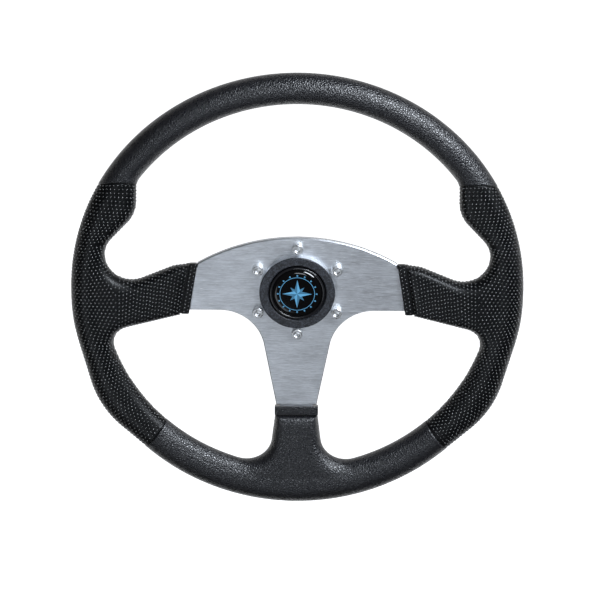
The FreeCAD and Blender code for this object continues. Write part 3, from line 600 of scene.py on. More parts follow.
def right_grip():
    """The moulding's right-hand stretch, from the upper seam over the thumb rest and the side sleeve to
    the lower seam, as grids of points."""
    above, below, out = inside_above(), inside_below(), outside()
    top_root, foot_root = nearest(above, SLEEVE_ROOTS[0]), nearest(below, SLEEVE_ROOTS[1])
    top_out, foot_out = (nearest(out, place) for place in SLEEVE_ROOTS_OUTSIDE)
    first_path = stretch(above, upper_seam(above, 0, -SEAM_GAP), top_root)
    last_path = stretch(below, foot_root, lower_seam(below, 0, SEAM_GAP))
    first_shares = seam_steps(lengths(first_path)[-1], GRIP_STEP, end=False)
    last_shares = seam_steps(lengths(last_path)[-1], LOWER_STEP, start=False)
    outer = np.vstack([walk(stretch(out, upper_seam(out, 1, -SEAM_GAP), top_out), first_shares),
                       walk(stretch(out, top_out, foot_out), eased(SLEEVE_ROWS))[1:-1],
                       walk(stretch(out, foot_out, lower_seam(out, 1, SEAM_GAP)), last_shares)])
    top = stretch(above, top_root, lengths(above)[-1])[::-1]
    foot = stretch(below, 0, foot_root)
    return branched(walk(first_path, first_shares), walk(last_path, last_shares), outer, top, foot,
                    np.array([SLEEVE_TOP, SLEEVE_FOOT]), (above, below), (out,))


def grained_upper_rim():
    """The leather-grained rim over the top, from seam to seam: an elliptical section along both arcs."""
    above, out, flip = inside_above(), outside(), np.array([-1, 1])
    inner = stretch(above, 0, upper_seam(above, 0, SEAM_GAP))
    outer = stretch(out, 0, upper_seam(out, 1, SEAM_GAP))
    inner = np.vstack([inner[::-1] * flip, inner[1:]])
    outer = np.vstack([outer[::-1] * flip, outer[1:]])
    shares = seam_steps(lengths(inner)[-1], RIM_STEP)
    strip = ruled(walk(inner, shares), walk(outer, shares), ACROSS)
    depth = half_depth(strip, (above, above * flip), (out, out * flip))
    rim = rolled(strip, depth, lengths(strip[:, ACROSS // 2]))
    return welded([rim[0], rim[1][:, ::-1], *seam_caps(rim)])[:2]


def grained_lower_rim():
    """The leather-grained rim along the bottom with the lower sleeve, from the right seam to the left."""
    below, out, flip = inside_below(), outside(), np.array([-1, 1])
    root, root_out = nearest(below, LOWER_ROOT), nearest(out, LOWER_ROOT_OUTSIDE)
    first_path = stretch(below, lower_seam(below, 0, -SEAM_GAP), root)
    shares = seam_steps(lengths(first_path)[-1], LOWER_STEP, end=False)
    first = walk(first_path, shares)
    first_out = walk(stretch(out, lower_seam(out, 1, -SEAM_GAP), root_out), shares)
    bottom = stretch(out, root_out, lengths(out)[-1])
    bottom = np.vstack([bottom, bottom[-2::-1] * flip])
    outer = np.vstack([first_out, walk(bottom, eased(SLEEVE_ROWS))[1:-1], first_out[::-1] * flip])
    side = stretch(below, root, lengths(below)[-1])[::-1]
    patches, _, _ = branched(first, first[::-1] * flip, outer, side, side * flip,
                             np.array([LOWER_SLEEVE, np.multiply(LOWER_SLEEVE, flip)]),
                             (below, below * flip), (out, out * flip))
    return welded(patches)[:2]


def studded(patches, root, run, settings):
    """A branched stretch of the moulding, lowered by the height of its studs, with rows of studs all
    round it: across the rim on one part, and round the sleeve on the other."""
    pitch, row_gap = settings.stud_pitch / MM, settings.stud_row_gap / MM
    height, radius = settings.stud_height / MM, settings.stud_radius / MM
    points, triangles, grids = welded(patches)
    normals = point_normals(points, triangles)
    points = points - normals * height
    front, back, sleeve_front, sleeve_back = grids[:4]
    rim = np.concatenate([back[:, ::-1][:, :-1], front[:, ::-1]], axis=1)
    rows = np.arange(RIM_STUD_ENDS[0], run[-1] - RIM_STUD_ENDS[1], row_gap)
    lines, facings = rows_between([points[rim], normals[rim]], run, rows)
    closed = (rows < run[root.start]) | (rows > run[root.stop - 1])
    places, facing = stud_rows(lines, facings, ACROSS - 1, pitch, closed)
    sleeve = np.concatenate([sleeve_front, sleeve_back[::-1, ::-1][1:]], axis=0).T
    middle = points[sleeve[:, SLEEVE_ROWS // 2]]
    sleeve_run = lengths(middle)
    columns = np.arange(SLEEVE_STUD_ENDS[0], sleeve_run[-1] - SLEEVE_STUD_ENDS[1], row_gap)
    lines, facings = rows_between([points[sleeve], normals[sleeve]], sleeve_run, columns)
    more, more_facing = stud_rows(lines, facings, 0, pitch, np.ones(len(columns), bool))
    places, facing = thinned(np.concatenate([places, more]), np.concatenate([facing, more_facing]),
                             STUD_CLEARANCE * pitch)
    return joined((points, triangles), studs(places, facing, radius, height))


def rounded_block(low, high, radius, slant=0.0, top_fall=0.0):
    """A box with round edges: each direction of a sphere stands on the box's inner corner in its own
    octant. The slant moves it along X as it goes up, and its top falls towards the back."""
    quarter = np.linspace(0, np.pi / 2, BLOCK_TURNS)
    signs = np.array([[1, 1], [-1, 1], [-1, -1], [1, -1]])
    around = np.concatenate([quarter + k * np.pi / 2 for k in range(4)])
    side = np.repeat(signs, BLOCK_TURNS, axis=0)
    around, side = np.append(around, around[0]), np.vstack([side, side[:1]])
    down = np.concatenate([quarter, quarter + np.pi / 2])
    level = np.repeat([1, -1], BLOCK_TURNS)
    direction = np.stack([np.outer(np.sin(down), np.cos(around)), np.outer(np.sin(down), np.sin(around)),
                          np.outer(np.cos(down), np.ones_like(around))], -1)
    low, high = np.asarray(low, float), np.asarray(high, float)
    middle, core = (low + high) / 2, (high - low) / 2 - radius
    octant = np.stack(np.broadcast_arrays(side[:, 0], side[:, 1], level[:, None]), -1)
    grid = middle + core * octant + radius * direction
    tip = np.broadcast_to([middle[0], middle[1], high[2]], grid[:1].shape)
    toe = np.broadcast_to([middle[0], middle[1], low[2]], grid[:1].shape)
    grid = np.concatenate([tip, grid, toe])
    upness = (grid[..., 2] - low[2]) / (high[2] - low[2])
    backness = (grid[..., 1] - low[1]) / (high[1] - low[1])
    grid[..., 2] -= top_fall * upness * backness
    grid[..., 0] += slant * (grid[..., 2] - middle[2])
    return welded([grid])[:2]


def turned(profile, count, spokes=None):
    """A profile of (radius, place along Y), turned about the shaft axis. A row may follow a polygon
    instead of a circle: spokes gives the share of the radius at each turn, row by row."""
    profile = np.asarray(profile, float)
    turns = np.linspace(0, 2 * np.pi, count + 1)
    turns[-1] = turns[0]
    radius = profile[:, :1] * (np.ones((len(profile), count + 1)) if spokes is None else spokes)
    return np.stack([radius * np.sin(turns), np.broadcast_to(profile[:, 1:], radius.shape),
                     radius * np.cos(turns)], -1)


def rounded_profile(corners, loop=False):
    """A profile of (radius, y, rounding) corners: each rounded corner becomes an arc, and every run gets
    a point close to both of its ends, which keeps its shading flat."""
    corners = [np.asarray(item, float) for item in corners]
    out = []
    for index, item in enumerate(corners):
        if item[2] == 0:
            out.append(item[None, :2])
            continue
        before, after = corners[index - 1][:2], corners[(index + 1) % len(corners)][:2]
        out.append(corner(before, item[:2], after, item[2], PROFILE_STEP))
    if loop:
        out.append(out[0][:1])
    profile = [out[0]]
    for before, after in zip(out[:-1], out[1:]):
        start, end = before[-1], after[0]
        reach = np.linalg.norm(end - start)
        if reach > PROFILE_RUN:
            places = np.array([[PROFILE_EDGE], [reach - PROFILE_EDGE]]) / reach
            profile.append(start + (end - start) * places)
        profile.append(after)
    return np.vstack(profile)


def emblem_profile():
    """Half section of the domed disc: a shallow sphere, whose edge rolls over along an arc up to the
    fall's angle, and then drops to its foot."""
    foot = BUTTON_TOP_Y + BUTTON_POCKET[1]
    crown = np.linspace(0, DISC_RADIUS - DISC_ROLL, 30)
    dome = BUTTON_TOP_Y - DISC_STAND + DISC_CURVE - np.sqrt(DISC_CURVE ** 2 - crown ** 2)
    turns = np.linspace(0, DISC_FALL, 16)[1:]
    slope = crown[-1] / math.sqrt(DISC_CURVE ** 2 - crown[-1] ** 2)
    bend = DISC_ROLL / math.sin(DISC_FALL)
    edge = np.column_stack([DISC_RADIUS - DISC_ROLL + bend * np.sin(turns),
                            dome[-1] + slope * bend * np.sin(turns) + bend * (1 - np.cos(turns))])
    return np.vstack([np.column_stack([crown, dome]), edge,
                      [(DISC_RADIUS, foot - 0.1), (DISC_RADIUS, foot), (0, foot)]])


def bezel_profile():
    """Closed section of the horn push's ring: its lip, its side down to the plate, and its barrel."""
    face, shoulder, end = BEZEL_FACE_Y, BEZEL_FACE_Y + BEZEL_SHOULDER, PLATE_FRONT_Y + BARREL_REACH
    inner, outer = BARREL_RADII
    return rounded_profile([(inner, shoulder, 0), (BEZEL_BORE_RADIUS, shoulder, 0),
                            (BEZEL_BORE_RADIUS, face + 1.6, 0.4), (BEZEL_LIP_RADIUS, face, 0.35),
                            (BEZEL_RADIUS, face, 0.9), (BEZEL_RADIUS, PLATE_FRONT_Y, 0.2),
                            (outer, PLATE_FRONT_Y, 0), (outer, end, 0.4), (inner, end, 0.4)], True)


def button_profile():
    """Half section of the push button: a rounded rim round the disc's pocket, a flange under the bezel's
    shoulder, a skirt and a stem."""
    top, under = BUTTON_TOP_Y, BUTTON_TOP_Y + BUTTON_CROWN
    flange, skirt = BEZEL_FACE_Y + BEZEL_SHOULDER, BEZEL_FACE_Y + BEZEL_SHOULDER + FLANGE_DEPTH
    pocket, floor = BUTTON_POCKET[0], BUTTON_TOP_Y + BUTTON_POCKET[1]
    return rounded_profile([(0, floor, 0), (pocket, floor, 0), (pocket, top, 0.9), (BUTTON_RADIUS, top, 0.9),
                            (BUTTON_RADIUS, flange, 0), (FLANGE_RADIUS, flange, 0.2),
                            (FLANGE_RADIUS, skirt, 0.2), (SKIRT_RADIUS, skirt, 0), (SKIRT_RADIUS, under, 0),
                            (STEM_RADIUS, under, 0), (STEM_RADIUS, STEM_END_Y, 0), (0, STEM_END_Y, 0)])


def outer_side(points, triangles, radius, front):
    """Which triangles stand farther from the shaft axis than a radius, and behind a place along it."""
    middle = points[triangles].mean(axis=1)
    return (np.hypot(middle[:, 0], middle[:, 2]) > radius) & (middle[:, 1] > front)


def socket_screw():
    """A cap screw at the middle of the wheel: head with a rounded edge, shank, and a hexagon socket whose
    rows follow the distance from the axis to the hexagon's sides, as 1 over the cosine of the turn. Its
    knurled side is told apart from the rest."""
    face, floor, end = SCREW_FACE_Y, SCREW_FACE_Y + SOCKET_DEPTH, PLATE_FRONT_Y + SCREW_REACH
    outer = rounded_profile([(0, face, 0), (SCREW_HEAD_RADIUS, face, 0.7),
                             (SCREW_HEAD_RADIUS, PLATE_FRONT_Y, 0.15), (SCREW_SHANK_RADIUS, PLATE_FRONT_Y, 0),
                             (SCREW_SHANK_RADIUS, end, 0.4), (0, end, 0)])[1:]
    socket = np.array([(0, floor + 0.7), (SOCKET_HALF - 0.1, floor), (SOCKET_HALF, floor),
                       (SOCKET_HALF, floor - 0.15), (SOCKET_HALF, face + 0.5), (SOCKET_HALF, face + 0.3),
                       (SOCKET_HALF + 0.45, face), (SOCKET_HALF + 0.6, face)])
    beside_socket = (outer[:, 0] > SOCKET_HALF + 0.7) | (outer[:, 1] > face + 0.01)
    profile = np.vstack([socket, outer[beside_socket]])
    turns = np.linspace(0, 2 * np.pi, SCREW_SIDES + 1)
    spokes = np.ones((len(profile), SCREW_SIDES + 1))
    spokes[1:6] = 1 / np.cos((turns % (np.pi / 3)) - np.pi / 6)
    points, triangles, _ = welded([turned(profile, SCREW_SIDES, spokes)])
    return points, triangles, outer_side(points, triangles, SCREW_HEAD_RADIUS - 0.05, face + 0.5)


def tinted(colour, factor, offset=0.0):
    """A colour times a factor, plus an offset."""
    return [min(1, value * factor + offset) for value in colour]


class Finish:
    """A Principled material in the making, with nodes that vary it by the place on the piece."""

    def __init__(self, name, colour, roughness, **shader):
        self.material = bpy.data.materials.new(name)
        self.material.use_nodes = True
        self.tree = self.material.node_tree
        self.sockets = self.tree.nodes["Principled BSDF"].inputs
        self.sockets["Base Color"].default_value = (*colour, 1)
        self.sockets["Roughness"].default_value = self.roughness = roughness
        for key, value in shader.items():
            self.sockets[key.replace("_", " ")].default_value = value
        self.place = self.node("TexCoord").outputs["Object"]

    def node(self, kind, values=(), **settings):
        """A node with its settings; a value is a plain default, or an output to link from."""
        made = self.tree.nodes.new("ShaderNode" + kind)
        for key, value in settings.items():
            setattr(made, key, value)
        for key, value in dict(values).items():
            if isinstance(value, bpy.types.NodeSocket):
                self.tree.links.new(value, made.inputs[key])
            else:
                made.inputs[key].default_value = value
        return made

    def maths(self, operation, first, second=0.0, third=0.0):
        """One sum or comparison of plain values or outputs."""
        return self.node("Math", {0: first, 1: second, 2: third}, operation=operation).outputs[0]

    def noise(self, scale, detail=2.0, roughness=0.5):
        """Noise by a scale, or by three scales that stretch it."""
        place = self.place
        if isinstance(scale, tuple):
            place, scale = self.node("Mapping", {"Vector": place, "Scale": scale}).outputs["Vector"], 1.0
        values = {"Vector": place, "Scale": scale, "Detail": detail, "Roughness": roughness}
        return self.node("TexNoise", values).outputs["Fac"]

    def ranged(self, value, low, high, first=0.0, last=1.0):
        """A value between two limits, spread over another range."""
        values = {"Value": value, "From Min": low, "From Max": high, "To Min": first, "To Max": last}
        return self.node("MapRange", values).outputs["Result"]

    def mixed(self, share, first, second):
        """Two colours mixed by a share, each a plain colour or an output."""
        colours = {key: value if isinstance(value, bpy.types.NodeSocket) else (*value, 1)
                   for key, value in ((6, first), (7, second))}
        return self.node("Mix", {0: share, **colours}, data_type="RGBA").outputs[2]

    def drive(self, socket, value):
        """Lets an output set one of the shader's sockets."""
        self.tree.links.new(value, self.sockets[socket])

    def relieve(self, height, strength, depth):
        """Surface relief: the height, from 0 to 1, stands for a depth in metres."""
        relief = self.node("Bump", {"Height": height, "Strength": strength, "Distance": depth})
        self.drive("Normal", relief.outputs["Normal"])

    def wear(self, value, low, high, first, last):
        """Varies the roughness with a value, between two offsets from the finish's own."""
        self.drive("Roughness", self.ranged(value, low, high, self.roughness + first, self.roughness + last))


def pebbled_skin(name, colour, grain_size):
    """Moulded leather grain: rounded pebbles parted by fine creases, with a finer grain on them. Its colour
    holds painted shade in the creases and a painted highlight on the pebbles' tops.
    """
    skin = Finish(name, colour, 0.29, Specular_IOR_Level=0.75)
    pebbles = skin.node("TexVoronoi", {"Vector": skin.place, "Scale": 1 / grain_size},
                        feature="DISTANCE_TO_EDGE")
    slope = skin.ranged(pebbles.outputs["Distance"], 0.0, 0.36)
    dome = skin.maths("MULTIPLY", slope, skin.maths("SUBTRACT", 2.0, slope))
    skin.relieve(skin.maths("MULTIPLY_ADD", skin.noise(760, 3), 1.7, dome), 1.0, 0.00018)
    # Painted shade and painted highlight: the base colour is darkest in the creases and lightest on the
    # pebbles' tops.
    skin.drive("Base Color", skin.mixed(dome, tinted(colour, 0.4), tinted(colour, 1.6, 0.001)))
    skin.wear(dome, 0.0, 1.0, 0.2, -0.03)
    return skin.material


def fine_skin(name, colour, roughness=0.36, strength=0.5, gloss=0.26):
    """Foam skin between the studs and on them: a fine sand-like grain, whose colour holds a painted highlight
    where it stands high and painted shade in its hollows.
    """
    skin = Finish(name, colour, roughness, Specular_IOR_Level=gloss)
    grain = skin.noise(1500, 2, 0.6)
    skin.relieve(grain, strength, 0.00024)
    skin.wear(skin.noise(120, 3), 0.3, 0.7, -0.05, 0.07)
    # Painted highlight and painted shade: the base colour is lighter where the grain stands high and darker in
    # its hollows.
    skin.drive("Base Color", skin.mixed(skin.ranged(grain, 0.4, 0.65), colour, tinted(colour, 1.6, 0.0006)))
    return skin.material


def brushed_metal(name, colour, face):
    """Brushing along X: short strokes from noise stretched along them, in the relief, the gloss and the
    tone, and here and there a brighter scratch where a sparser stretched noise peaks. Behind the face, on
    the cut edge, the tone falls."""
    metal = Finish(name, colour, 0.4, Metallic=1.0)
    coarse, fine = metal.noise((110, 1500, 1500), 3, 0.7), metal.noise((240, 3600, 3600), 2, 0.6)
    strokes = metal.maths("MULTIPLY_ADD", coarse, 0.6, metal.maths("MULTIPLY", fine, 0.4))
    metal.relieve(strokes, 0.7, 0.00004)
    metal.wear(strokes, 0.3, 0.7, -0.1, 0.12)
    cloud = metal.maths("MULTIPLY", metal.noise((40, 90, 90), 3), 0.25)
    tone = metal.ranged(metal.maths("MULTIPLY_ADD", strokes, 0.75, cloud), 0.36, 0.64)
    brushed = metal.mixed(tone, tinted(colour, 0.72), tinted(colour, 1.28))
    scratch = metal.ranged(metal.noise((130, 2100, 2100), 1), 0.7, 0.75, 0, 0.8)
    scratched = metal.mixed(scratch, brushed, tinted(colour, 1.6))
    depth = metal.node("SeparateXYZ", {0: metal.place}).outputs["Y"]
    cut = metal.ranged(depth, face + 0.0001, face + 0.0003, 0, 0.7)
    metal.drive("Base Color", metal.mixed(cut, scratched, tinted(colour, 0.6)))
    return metal.material


def turned_steel(name, colour, roughness=0.3):
    """Bright machined metal with faint cloudy wear in its gloss."""
    metal = Finish(name, colour, roughness, Metallic=1.0)
    metal.wear(metal.noise(700, 3), 0.3, 0.7, -0.07, 0.12)
    metal.relieve(metal.noise(4000), 0.15, 0.00003)
    return metal.material


def textured_plastic(name, colour, roughness=0.38, scale=1000.0, strength=1.0):
    """Spark-eroded mould texture: small pits and bumps on a matt plastic, with a painted highlight on the
    bumps and painted shade in the pits.
    """
    plastic = Finish(name, colour, roughness, Specular_IOR_Level=0.5)
    pits = plastic.noise(scale, 2, 0.65)
    plastic.relieve(pits, strength, 0.0003)
    # Painted highlight and painted shade: the base colour is much lighter on the bumps and darker in the pits.
    painted_highlight = plastic.ranged(pits, 0.45, 0.63)
    plastic.drive("Base Color", plastic.mixed(painted_highlight, tinted(colour, 0.6), tinted(colour, 4.2, 0.004)))
    plastic.wear(pits, 0.3, 0.7, 0.1, -0.08)
    return plastic.material


def gloss_plastic(name, colour):
    """Polished plastic with faint rubbing in its gloss."""
    plastic = Finish(name, colour, 0.12)
    rubs = plastic.noise(260, 4, 0.6)
    plastic.wear(rubs, 0.3, 0.75, -0.04, 0.09)
    plastic.drive("Base Color", plastic.mixed(rubs, colour, tinted(colour, 1.5)))
    return plastic.material


def cast_metal(name, colour):
    """Die casting under black paint: an orange-peel relief with a fine grain on it, and a painted highlight on
    the peel's crests.
    """
    paint = Finish(name, colour, 0.6, Specular_IOR_Level=0.45)
    peel, fine = paint.noise(420, 3), paint.noise(2400)
    paint.relieve(paint.maths("MULTIPLY_ADD", fine, 0.4, peel), 0.4, 0.00012)
    # Painted highlight and painted shade: the base colour is lighter on the crests of the orange peel and
    # darker in its hollows.
    paint.drive("Base Color", paint.mixed(paint.ranged(peel, 0.4, 0.65), colour, tinted(colour, 2, 0.003)))
    paint.wear(fine, 0.3, 0.7, -0.1, 0.1)
    return paint.material


def compass_card(name, ground, ink):
    """A glossy disc printed with a compass card. A star of four points is where the larger of |x| and |z|
    plus a multiple of the smaller stays under the tip's radius; a second star is turned by 45 degrees.
    Each point is half solid and half pale. A ring and short marks go round them."""
    card = Finish(name, ground, 0.09, Specular_IOR_Level=0.42)
    maths, half = card.maths, math.sqrt(0.5)
    axes = card.node("SeparateXYZ", {0: card.place}).outputs
    x, z = maths("DIVIDE", axes["X"], MM), maths("DIVIDE", axes["Z"], MM)
    wide, high = maths("ABSOLUTE", x), maths("ABSOLUTE", z)
    radius = maths("SQRT", maths("ADD", maths("MULTIPLY", x, x), maths("MULTIPLY", z, z)))

    def star(first, second, tip, waist):
        large, small = maths("MAXIMUM", first, second), maths("MINIMUM", first, second)
        slope = (tip - waist * half) / (waist * half)
        return maths("LESS_THAN", maths("MULTIPLY_ADD", small, slope, large), tip)

    def band(place, half_width):
        return maths("LESS_THAN", maths("ABSOLUTE", maths("SUBTRACT", radius, place)), half_width)

    main = star(wide, high, 11.5, 3.2)
    rising = maths("MULTIPLY", maths("ADD", wide, high), half)
    falling = maths("MULTIPLY", maths("ABSOLUTE", maths("SUBTRACT", wide, high)), half)
    minor = maths("MULTIPLY", star(rising, falling, 7.6, 2.6), maths("SUBTRACT", 1.0, main))
    same_sign = maths("GREATER_THAN", maths("MULTIPLY", x, z), 0.0)
    dark_half = maths("ABSOLUTE", maths("SUBTRACT", same_sign, maths("GREATER_THAN", high, wide)))
    turn = maths("MULTIPLY", maths("ARCTAN2", z, x), 16.0)
    marks = maths("MULTIPLY", maths("GREATER_THAN", maths("COSINE", turn), 0.82), band(14.9, 0.7))
    printed = maths("MULTIPLY", main, maths("MULTIPLY_ADD", dark_half, -0.55, 1.0))
    for shape, share in ((minor, 0.5), (band(13.4, 0.22), 0.85), (marks, 0.7)):
        printed = maths("MAXIMUM", printed, maths("MULTIPLY", shape, share))
    inked = card.mixed(card.ranged(card.noise(90, 3), 0.3, 0.7), ink, tinted(ink, 0.85))
    card.drive("Base Color", card.mixed(printed, ground, inked))
    card.wear(printed, 0, 1, 0, 0.19)
    return card.material


def length_setting(name, description, default, low, high):
    """A length that a user can set, in metres."""
    return FloatProperty(name=name, description=description, default=default, min=low, max=high,
                         unit="LENGTH", precision=5)


def colour_setting(name, description, default):
    """A colour that a user can set."""
    return FloatVectorProperty(name=name, description=description, default=default, min=0, max=1,
                               subtype="COLOR")


def power_setting(name, description, default):
    """A lamp's power that a user can set, in watts."""
    return FloatProperty(name=name, description=description, default=default, min=0, max=500, unit="POWER")


class WheelMouldingSettings(bpy.types.PropertyGroup):
    """Sizes and colours of the moulding round the rim."""

    stud_pitch: length_setting("Stud pitch", "Distance between studs in a row", 0.0031, 0.002, 0.006)
    stud_row_gap: length_setting("Row distance", "Distance between rows of studs", 0.0027, 0.0018, 0.006)
    stud_radius: length_setting("Stud radius", "Radius of a stud at its foot", 0.00095, 0.0003, 0.0015)
    stud_height: length_setting("Stud height", "Height of a stud over the skin", 0.0004, 0.0001, 0.001)
    grain_size: length_setting("Grain size", "Size of a pebble of the leather grain", 0.0018, 0.0004, 0.004)
    rim_colour: colour_setting("Rim colour", "Colour of the grained rim", (0.0015, 0.0018, 0.0036))
    grip_colour: colour_setting("Grip colour", "Colour of the studded grips", (0.0007, 0.0008, 0.0012))


class WheelMetalSettings(bpy.types.PropertyGroup):
    """Colours of the plate, the screws, the hub and the inner metal parts."""

    plate_colour: colour_setting("Plate colour", "Colour of the brushed spoke plate", (0.63, 0.65, 0.68))
    screw_colour: colour_setting("Screw colour", "Colour of the cap screws", (0.86, 0.87, 0.88))
    hub_colour: colour_setting("Hub colour", "Colour of the painted hub casting", (0.014, 0.014, 0.016))
    spring_colour: colour_setting("Spring colour", "Colour of the spring wire", (0.5, 0.52, 0.55))
    contact_colour: colour_setting("Contact colour", "Colour of the brass contacts", (0.72, 0.5, 0.2))


class WheelHornSettings(bpy.types.PropertyGroup):
    """Colours of the horn push."""

    bezel_colour: colour_setting("Bezel colour", "Colour of the textured ring", (0.009, 0.01, 0.0125))
    wall_colour: colour_setting("Wall colour", "Colour of the ring's bare metal side", (0.62, 0.64, 0.67))
    button_colour: colour_setting("Button colour", "Colour of the glossy push button", (0.006, 0.006, 0.007))
    base_colour: colour_setting("Base colour", "Colour of the contact base", (0.05, 0.05, 0.052))
    card_colour: colour_setting("Card colour", "Ground of the compass card", (0.001, 0.001, 0.0012))
    ink_colour: colour_setting("Ink colour", "Print of the compass card", (0.115, 0.36, 0.58))


class WheelStageSettings(bpy.types.PropertyGroup):
    """Lights and floor."""

    key_power: power_setting("Key light", "Power of the large light at the upper right, in watts", 44.0)
    front_power: power_setting("Front light", "Power of the soft light by the camera, in watts", 6.0)
    card_power: power_setting("Card light", "Power of the wide card low in front, in watts", 4.5)
    world_level: FloatProperty(name="Room light", description="Level of the even light of the room",
                               default=0.075, min=0, max=2, subtype="FACTOR")
    floor_drop: length_setting("Floor depth", "Height of the wheel's axis over the floor", 0.7, 0.19, 3)


def ready(piece, slot, *nodes):
    """Puts a finished piece on the wheel and hides the solids that it stands for. The slot, which names its
    finish, is not used.
    """
    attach(piece, "wheel")
    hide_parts(*nodes)


def moulded(name, shape, *materials):
    """A finished piece of the foam moulding."""
    ready(mesh_piece(name, shape, materials), "soft_foam", "rim_cover")


class WHEEL_OT_grained_rim(bpy.types.Operator):
    """Makes the leather-grained rim above and below, with the lower sleeve"""

    bl_idname = "wheel.grained_rim"
    bl_label = "Grained rim"

    def execute(self, context):
        settings = context.scene.wheel_moulding
        skin = pebbled_skin("Grained rim skin", settings.rim_colour, settings.grain_size)
        moulded("rim_upper", grained_upper_rim(), skin)
        moulded("rim_lower", grained_lower_rim(), skin)
        return {"FINISHED"}


class WHEEL_OT_grips(bpy.types.Operator):
    """Makes the two studded grips with their thumb rests and side sleeves"""

    bl_idname = "wheel.grips"
    bl_label = "Studded grips"

    def execute(self, context):
        settings = context.scene.wheel_moulding
        skin = fine_skin("Grip skin", settings.grip_colour)
        stud = fine_skin("Stud skin", settings.grip_colour, 0.22, 0.1, 1.0)
        grip = studded(*right_grip(), settings)
        moulded("grip_right", grip, skin, stud)
        moulded("grip_left", mirrored(*grip), skin, stud)
        return {"FINISHED"}


def side_collar(near, far, top_stand, foot_stand, half_depth_mm, rounding, top_fall=0.0):
    """A slanted block round the end of the right-hand spoke, between two distances from it."""
    top, foot = PLATE_END_TOP[1] + top_stand, PLATE_END_FOOT[1] - foot_stand
    run = PLATE_END_FOOT[0] - PLATE_END_TOP[0]
    middle = (PLATE_END_TOP[0] + PLATE_END_FOOT[0]) / 2
    low = (middle + near, WHEEL_Y - half_depth_mm, foot)
    high = (middle + far, WHEEL_Y + half_depth_mm, top)
    return rounded_block(low, high, rounding, -run / (top - foot), top_fall)


def lower_block(half, half_depth_mm, foot, top, rounding, top_fall=0.0):
    """An upright block round the end of the lower spoke."""
    return rounded_block((-half, WHEEL_Y - half_depth_mm, foot), (half, WHEEL_Y + half_depth_mm, top),
                         rounding, 0.0, top_fall)


def collar_studs(half_depth_mm, settings):
    """Studs in staggered columns on the front of the right-hand collar, and lower down on its back."""
    x_top, z_top = PLATE_END_TOP[0], PLATE_END_TOP[1] + COLLAR_TOP_STAND
    x_foot, z_foot = PLATE_END_FOOT[0], PLATE_END_FOOT[1] - COLLAR_FOOT_STAND
    pitch, spots = settings.stud_pitch / MM, []
    for index, offset in enumerate(COLLAR_STUD_COLUMNS):
        marks = np.arange(COLLAR_STUD_ENDS[0] + 0.5 * pitch * (index % 2),
                          z_top - z_foot - COLLAR_STUD_ENDS[1], pitch)
        share = marks / (z_top - z_foot)
        spots.append(np.column_stack([x_top + (x_foot - x_top) * share + offset, z_top - marks]))
    front = np.concatenate(spots)
    back = front[front[:, 1] < z_top - COLLAR_TOP_FALL - COLLAR_STUD_EDGE]
    places = [np.insert(front, 1, WHEEL_Y - half_depth_mm, axis=1),
              np.insert(back, 1, WHEEL_Y + half_depth_mm, axis=1)]
    facing = np.repeat([[0.0, -1, 0], [0.0, 1, 0]], [len(front), len(back)], axis=0)
    return studs(np.concatenate(places), facing, settings.stud_radius / MM, settings.stud_height / MM)


class WHEEL_OT_collars(bpy.types.Operator):
    """Makes the collars round the ends of the spokes and the necks behind them"""

    bl_idname = "wheel.collars"
    bl_label = "Collars"

    def execute(self, context):
        settings = context.scene.wheel_moulding
        skin = fine_skin("Collar skin", settings.grip_colour, 0.42)
        stud = bpy.data.materials.get("Stud skin") or skin
        grained = bpy.data.materials.get("Grained rim skin") or skin
        depth = COLLAR_HALF_DEPTH - COLLAR_SKIN
        collar = joined(side_collar(0, COLLAR_WIDTH, COLLAR_TOP_STAND, COLLAR_FOOT_STAND, depth,
                                    COLLAR_ROUND, COLLAR_TOP_FALL), collar_studs(depth, settings))
        neck = side_collar(COLLAR_WIDTH - NECK_OVERLAP, COLLAR_WIDTH + NECK_REACH,
                           COLLAR_TOP_STAND - NECK_TOP_DROP, COLLAR_FOOT_STAND - COLLAR_SKIN,
                           NECK_HALF_DEPTH, NECK_ROUND)
        moulded("collar_right", collar, skin, stud)
        moulded("neck_right", neck, skin)
        moulded("collar_left", mirrored(*collar), skin, stud)
        moulded("neck_left", mirrored(*neck), skin)
        end = LOWER_COLLAR_TOP - LOWER_COLLAR_WIDTH
        moulded("collar_lower", lower_block(LOWER_COLLAR_HALF, COLLAR_HALF_DEPTH, end, LOWER_COLLAR_TOP,
                                            COLLAR_ROUND, COLLAR_TOP_FALL), grained)
        moulded("neck_lower", lower_block(LOWER_COLLAR_HALF - 1, NECK_HALF_DEPTH, end - NECK_REACH,
                                          end + NECK_OVERLAP, NECK_ROUND), skin)
        return {"FINISHED"}


class WHEEL_OT_screws(bpy.types.Operator):
    """Makes the six socket cap screws"""

    bl_idname = "wheel.screws"
    bl_label = "Cap screws"

    def execute(self, context):
        colour = context.scene.wheel_metal.screw_colour
        # Painted shade: all of the screw but its knurled side gets the screw colour darkened, so the face
        # reads darker; the side keeps the full colour with a rougher gloss.
        steel = turned_steel("Screw steel", tinted(colour, 0.8))
        side = turned_steel("Knurled steel", colour, 0.5)
        points, triangles, knurled = socket_screw()
        for index in range(SCREW_COUNT):
            turn = math.radians(90 + 360 * index / SCREW_COUNT)
            place = np.array([math.cos(turn), 0, math.sin(turn)]) * SCREW_CIRCLE_RADIUS
            screw = mesh_piece(f"cap_screw_{index + 1}", (points + place, triangles, knurled), [steel, side])
            ready(screw, "stainless", f"hub_screw_{index + 1}")
        return {"FINISHED"}


